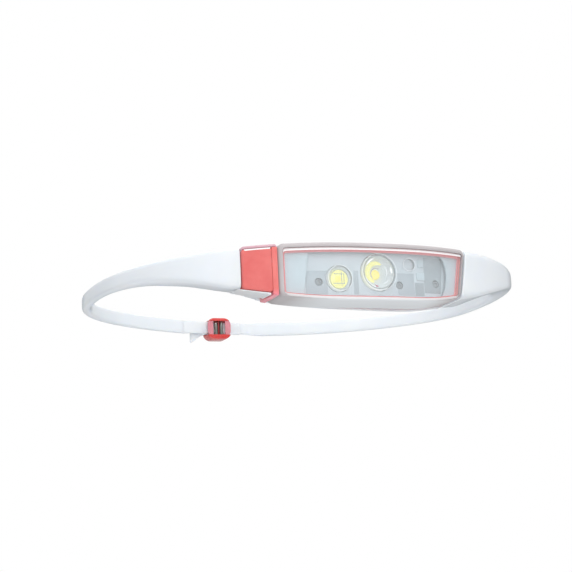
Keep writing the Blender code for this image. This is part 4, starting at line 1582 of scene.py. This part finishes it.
@dataclass
class PowerButton:
    """The coral button in the left end of the light unit's recess."""

    plan: Plan
    left: float = -53.95
    right: float = -43.3
    gap_top: float = 1.3
    foot: tuple[float, float] = (0.6, 1.15)
    depth: float = 0.12
    thick: float = 7.0

    def build(self, finishes: Finishes) -> None:
        """Builds the button, the frosted bar on it that paints the button's highlight, and the case's brow
        over both, painted pale for the light on it.

        Args:
            finishes: the headlamp's finishes.
        """
        plan = self.plan
        columns = []
        for x, low, high in plan.columns(self.left, self.right, 0.0, self.gap_top, 1.1, 16):
            raised = mix(self.foot[0], self.foot[1], (x - self.left) / (self.right - self.left))
            columns.append((x, low + raised, high))
        fillets = Fillets(Inset(0.7, 0.5, 0.9, 0.25), Inset(0.6, 0.45, 0.6, 0.2), True)
        block = CurvedPlate(plan, columns, self.depth, self.thick, fillets)
        piece = shape_of("coral_button", block.build(), SOFT_EDGE)
        dress(piece, finishes.button, Body.BUTTON, "coral_polycarbonate", "power_button")
        # painted highlight: a frosted white bar along the button's top edge
        bar = []
        for k in range(30):
            x = mix(self.left + 0.9, self.right - 0.35, k / 29)
            top = plan.top_z(x) - self.gap_top - 0.1
            bar.append((x, top - mix(0.95, 1.3, k / 29), top))
        edges = Fillets(Inset(0.1, 0.1, 0.25, 0.1), Inset(0.1, 0.1, 0.3, 0.1), True)
        strip = CurvedPlate(plan, bar, self.depth + 0.02, 1.2, edges, margins=(0.0, 0.08, 0.2), rows=3)
        piece = shape_of("button_painted_highlight_bar", strip.build(), SOFT_EDGE)
        dress(piece, finishes.frosted, Body.BUTTON, "clear_polycarbonate")
        # painted light: the case's brow above the button, pale as its lit top
        brow = [
            (x, high - 1.15, high) for x, _, high in plan.columns(self.left + 0.05, -41.2, 0.0, 0.06, 1.0, 18)
        ]
        edges = Fillets(Inset(0.5, 0.2, 0.9, 0.2), Inset(0.5, 0.15, 0.9, 0.15), True)
        rim = CurvedPlate(plan, brow, 0.35, self.thick, edges, margins=(0.0, 0.1, 0.25, 0.45), rows=2)
        piece = shape_of("case_brow", rim.build(), SOFT_EDGE)
        dress(piece, finishes.painted_light_coral, Body.UNIT, "coral_polycarbonate")
        log.info("button built")


@dataclass
class Buckle:
    """The strap buckle: a rounded coral frame with pale end walls, a web and two steel pins."""

    low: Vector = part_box("buckle_frame")[0] / MM
    high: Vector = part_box("buckle_frame")[1] / MM
    pin_radius: float = 0.9
    corner: float = 3.8
    slot: Point = (13.9, 21.0)
    well_half: float = 4.5

    def build(self, finishes: Finishes) -> None:
        """Builds the buckle.

        Args:
            finishes: the headlamp's finishes.
        """
        low, high = self.low, self.high
        slot_low, slot_high = self.slot
        rail = brick(low, high, 0)
        upright = [e for e in rail.edges if abs((e.verts[0].co - e.verts[1].co).normalized().y) > 0.9]
        bevel(rail, upright, self.corner, 10)
        rims = [e for e in rail.edges if e.calc_face_angle(0) > RIGHT_ENOUGH]
        bevel(rail, rims, 0.7, 4)
        body = shape_of("coral_buckle", rail, SOFT_EDGE)
        middle = (low.x + high.x) / 2
        left, right = middle - self.well_half, middle + self.well_half
        well = brick((left, 60, slot_low), (right, 99, slot_high), 0.5)
        channel = brick((low.x - 3, 60, slot_low), (high.x + 3, high.y - 1.9, slot_high), 0.5)
        cutters = [shape_of("buckle_well", well), shape_of("buckle_channel", channel)]
        settle(body, cutters, "DIFFERENCE", SOFT_EDGE)
        dress(body, finishes.buckle, Body.BUCKLE, "coral_polycarbonate", "buckle_frame")
        for name, x0, x1 in (("left", low.x + 0.35, middle - 3.2), ("right", middle + 3.2, high.x - 0.35)):
            wall = brick((x0, low.y + 0.25, slot_low - 0.4), (x1, low.y + 1.0, slot_high + 0.4), 0)
            outer = x0 if name == "left" else x1
            edges = [e for e in wall.edges if all(abs(v.co.x - outer * MM) < 1e-6 for v in e.verts)]
            edges = [e for e in edges if abs(e.verts[0].co.y - e.verts[1].co.y) > 1e-5]
            bevel(wall, edges, 2.2, 8)
            piece = shape_of(f"buckle_{name}_wall", wall, 40)
            dress(piece, finishes.frosted_coral, Body.BUCKLE, "coral_polycarbonate")
        # painted shade: the web takes the dark red of the shade in the frame's middle
        web = brick(
            (middle - 0.35, low.y + 1.4, slot_low - 0.3), (middle + 0.35, low.y + 2.7, slot_high + 0.3), 0.15
        )
        dress(shape_of("buckle_divider", web, 40), finishes.buckle_painted_shade, Body.BUCKLE, "coral_polycarbonate")
        for k in (1, 2):
            low, high = (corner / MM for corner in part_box(f"buckle_pin_{k}"))
            middle = (low + high) / 2
            length = high.z - low.z
            profile = [(0.0, 0.0), (0.0, 0.65)] + arc(0.2, 0.7, 0.2, 180, 90, 3)
            profile += [(length - 0.2, self.pin_radius), (length, 0.7), (length, 0.0)]
            pin = turned(profile, (middle.x, middle.y, low.z), (0, 0, 1), 40)
            piece = shape_of(f"steel_pin_{k}", pin, SOFT_EDGE)
            dress(piece, finishes.steel, Body.BUCKLE, "stainless_steel", f"buckle_pin_{k}")
        log.info("buckle built")


# ---- the studio


@dataclass
class Studio:
    """A pale floor, soft lights and the camera."""

    floor_z: float = -450.0
    floor_radius: float = 900.0
    target: tuple[float, float, float] = (-2.25, 16.0, 17.5)
    distance: float = 600.0
    azimuth: float = -20.5
    elevation: float = -10.3
    roll: float = -2.79
    lens: float = 80.17
    shift_y: float = 0.0339
    below: float = 0.22
    above: float = 1.0

    def build_floor(self) -> None:
        """A round pale floor."""
        form = bmesh.new()
        bmesh.ops.create_circle(form, cap_ends=True, segments=96, radius=self.floor_radius * MM)
        bmesh.ops.translate(form, vec=Vector((0, 0, self.floor_z * MM)), verts=form.verts)
        floor = shape_of("floor", form)
        made = bpy.data.materials.new("pale_floor")
        made.use_nodes = True
        shader = made.node_tree.nodes["Principled BSDF"]
        shader.inputs["Base Color"].default_value = linear("#f7f8f9")
        shader.inputs["Roughness"].default_value = 0.9
        floor.data.materials.append(made)

    def build_world(self) -> None:
        """White surroundings, a little dimmer as a light than as a backdrop."""
        world = bpy.data.worlds.new("white_room")
        world.use_nodes = True
        tree = world.node_tree
        back = tree.nodes["Background"]
        back.inputs["Color"].default_value = (1, 1, 1, 1)
        seen = add(tree, "ShaderNodeLightPath").outputs["Is Camera Ray"]
        towards = add(tree, "ShaderNodeTexCoord").outputs["Generated"]
        height = add(tree, "ShaderNodeSeparateXYZ", inputs={"Vector": towards}).outputs["Z"]
        sky = add(
            tree, "ShaderNodeMapRange",
            inputs={
                "Value": height, "From Min": -1.0, "From Max": 1.0,
                "To Min": self.below, "To Max": self.above,
            },
        ).outputs["Result"]
        strength = add(
            tree, "ShaderNodeMix", {"data_type": "FLOAT"}, {"Factor": seen, 2: sky, 3: 1.0}
        ).outputs[0]
        tree.links.new(strength, back.inputs["Strength"])
        bpy.context.scene.world = world

    def add_light(
        self, name: str, place: Sequence[float], size: Point, watts: float, mirrored: bool = True
    ) -> None:
        """A soft rectangular light aimed at the object.

        Args:
            name: its name.
            place: where it hangs, in millimetres.
            size: its width and height, in millimetres.
            watts: its power.
            mirrored: whether glossy surfaces show it.
        """
        data = bpy.data.lights.new(name, "AREA")
        data.shape = "RECTANGLE"
        data.size = size[0] * MM
        data.size_y = size[1] * MM
        data.energy = watts
        light = bpy.data.objects.new(name, data)
        light.location = Vector(place) * MM
        light.visible_glossy = mirrored
        aim = Vector(self.target) * MM - light.location
        light.rotation_mode = "QUATERNION"
        light.rotation_quaternion = aim.to_track_quat("-Z", "Y")
        bpy.context.scene.collection.objects.link(light)

    def build_camera(self) -> None:
        """The camera, in front to the right of the wearer, a little below, and slightly rolled."""
        turn, lift, roll = (math.radians(a) for a in (self.azimuth, self.elevation, self.roll))
        back = Vector((math.sin(turn) * math.cos(lift), -math.cos(turn) * math.cos(lift), math.sin(lift)))
        right = Vector((math.cos(turn), math.sin(turn), 0.0))
        up = back.cross(right)
        rolled_right = right * math.cos(roll) + up * math.sin(roll)
        rolled_up = up * math.cos(roll) - right * math.sin(roll)
        data = bpy.data.cameras.new("camera")
        data.lens = self.lens
        data.sensor_width = 36.0
        data.shift_y = self.shift_y
        data.clip_start, data.clip_end = 0.05, 20.0
        camera = bpy.data.objects.new("camera", data)
        place = (Vector(self.target) + back * self.distance) * MM
        axes = Matrix((rolled_right, rolled_up, back)).transposed().to_4x4()
        camera.matrix_world = Matrix.Translation(place) @ axes
        bpy.context.scene.collection.objects.link(camera)
        bpy.context.scene.camera = camera

    def build(self) -> None:
        """Builds the studio."""
        self.build_floor()
        self.build_world()
        self.add_light("front_softbox", (-160, -620, 240), (520, 360), 2.0, mirrored=False)
        self.add_light("top_strip", (-40, -330, 470), (640, 26), 0.8)
        self.add_light("rear_softbox", (150, 560, 360), (600, 300), 0.6)
        self.build_camera()
        bpy.context.scene.view_settings.view_transform = "Standard"
        log.info("studio built")


def main() -> None:
    """Builds the headlamp and its studio in order."""
    logging.basicConfig(level=logging.INFO, format="%(message)s")
    finishes = Finishes()
    HeadBand(PLAN).build(finishes)
    LightUnit(PLAN).build(finishes)
    PowerButton(PLAN).build(finishes)
    Buckle().build(finishes)
    Studio().build()


if __name__ == "__main__":
    main()
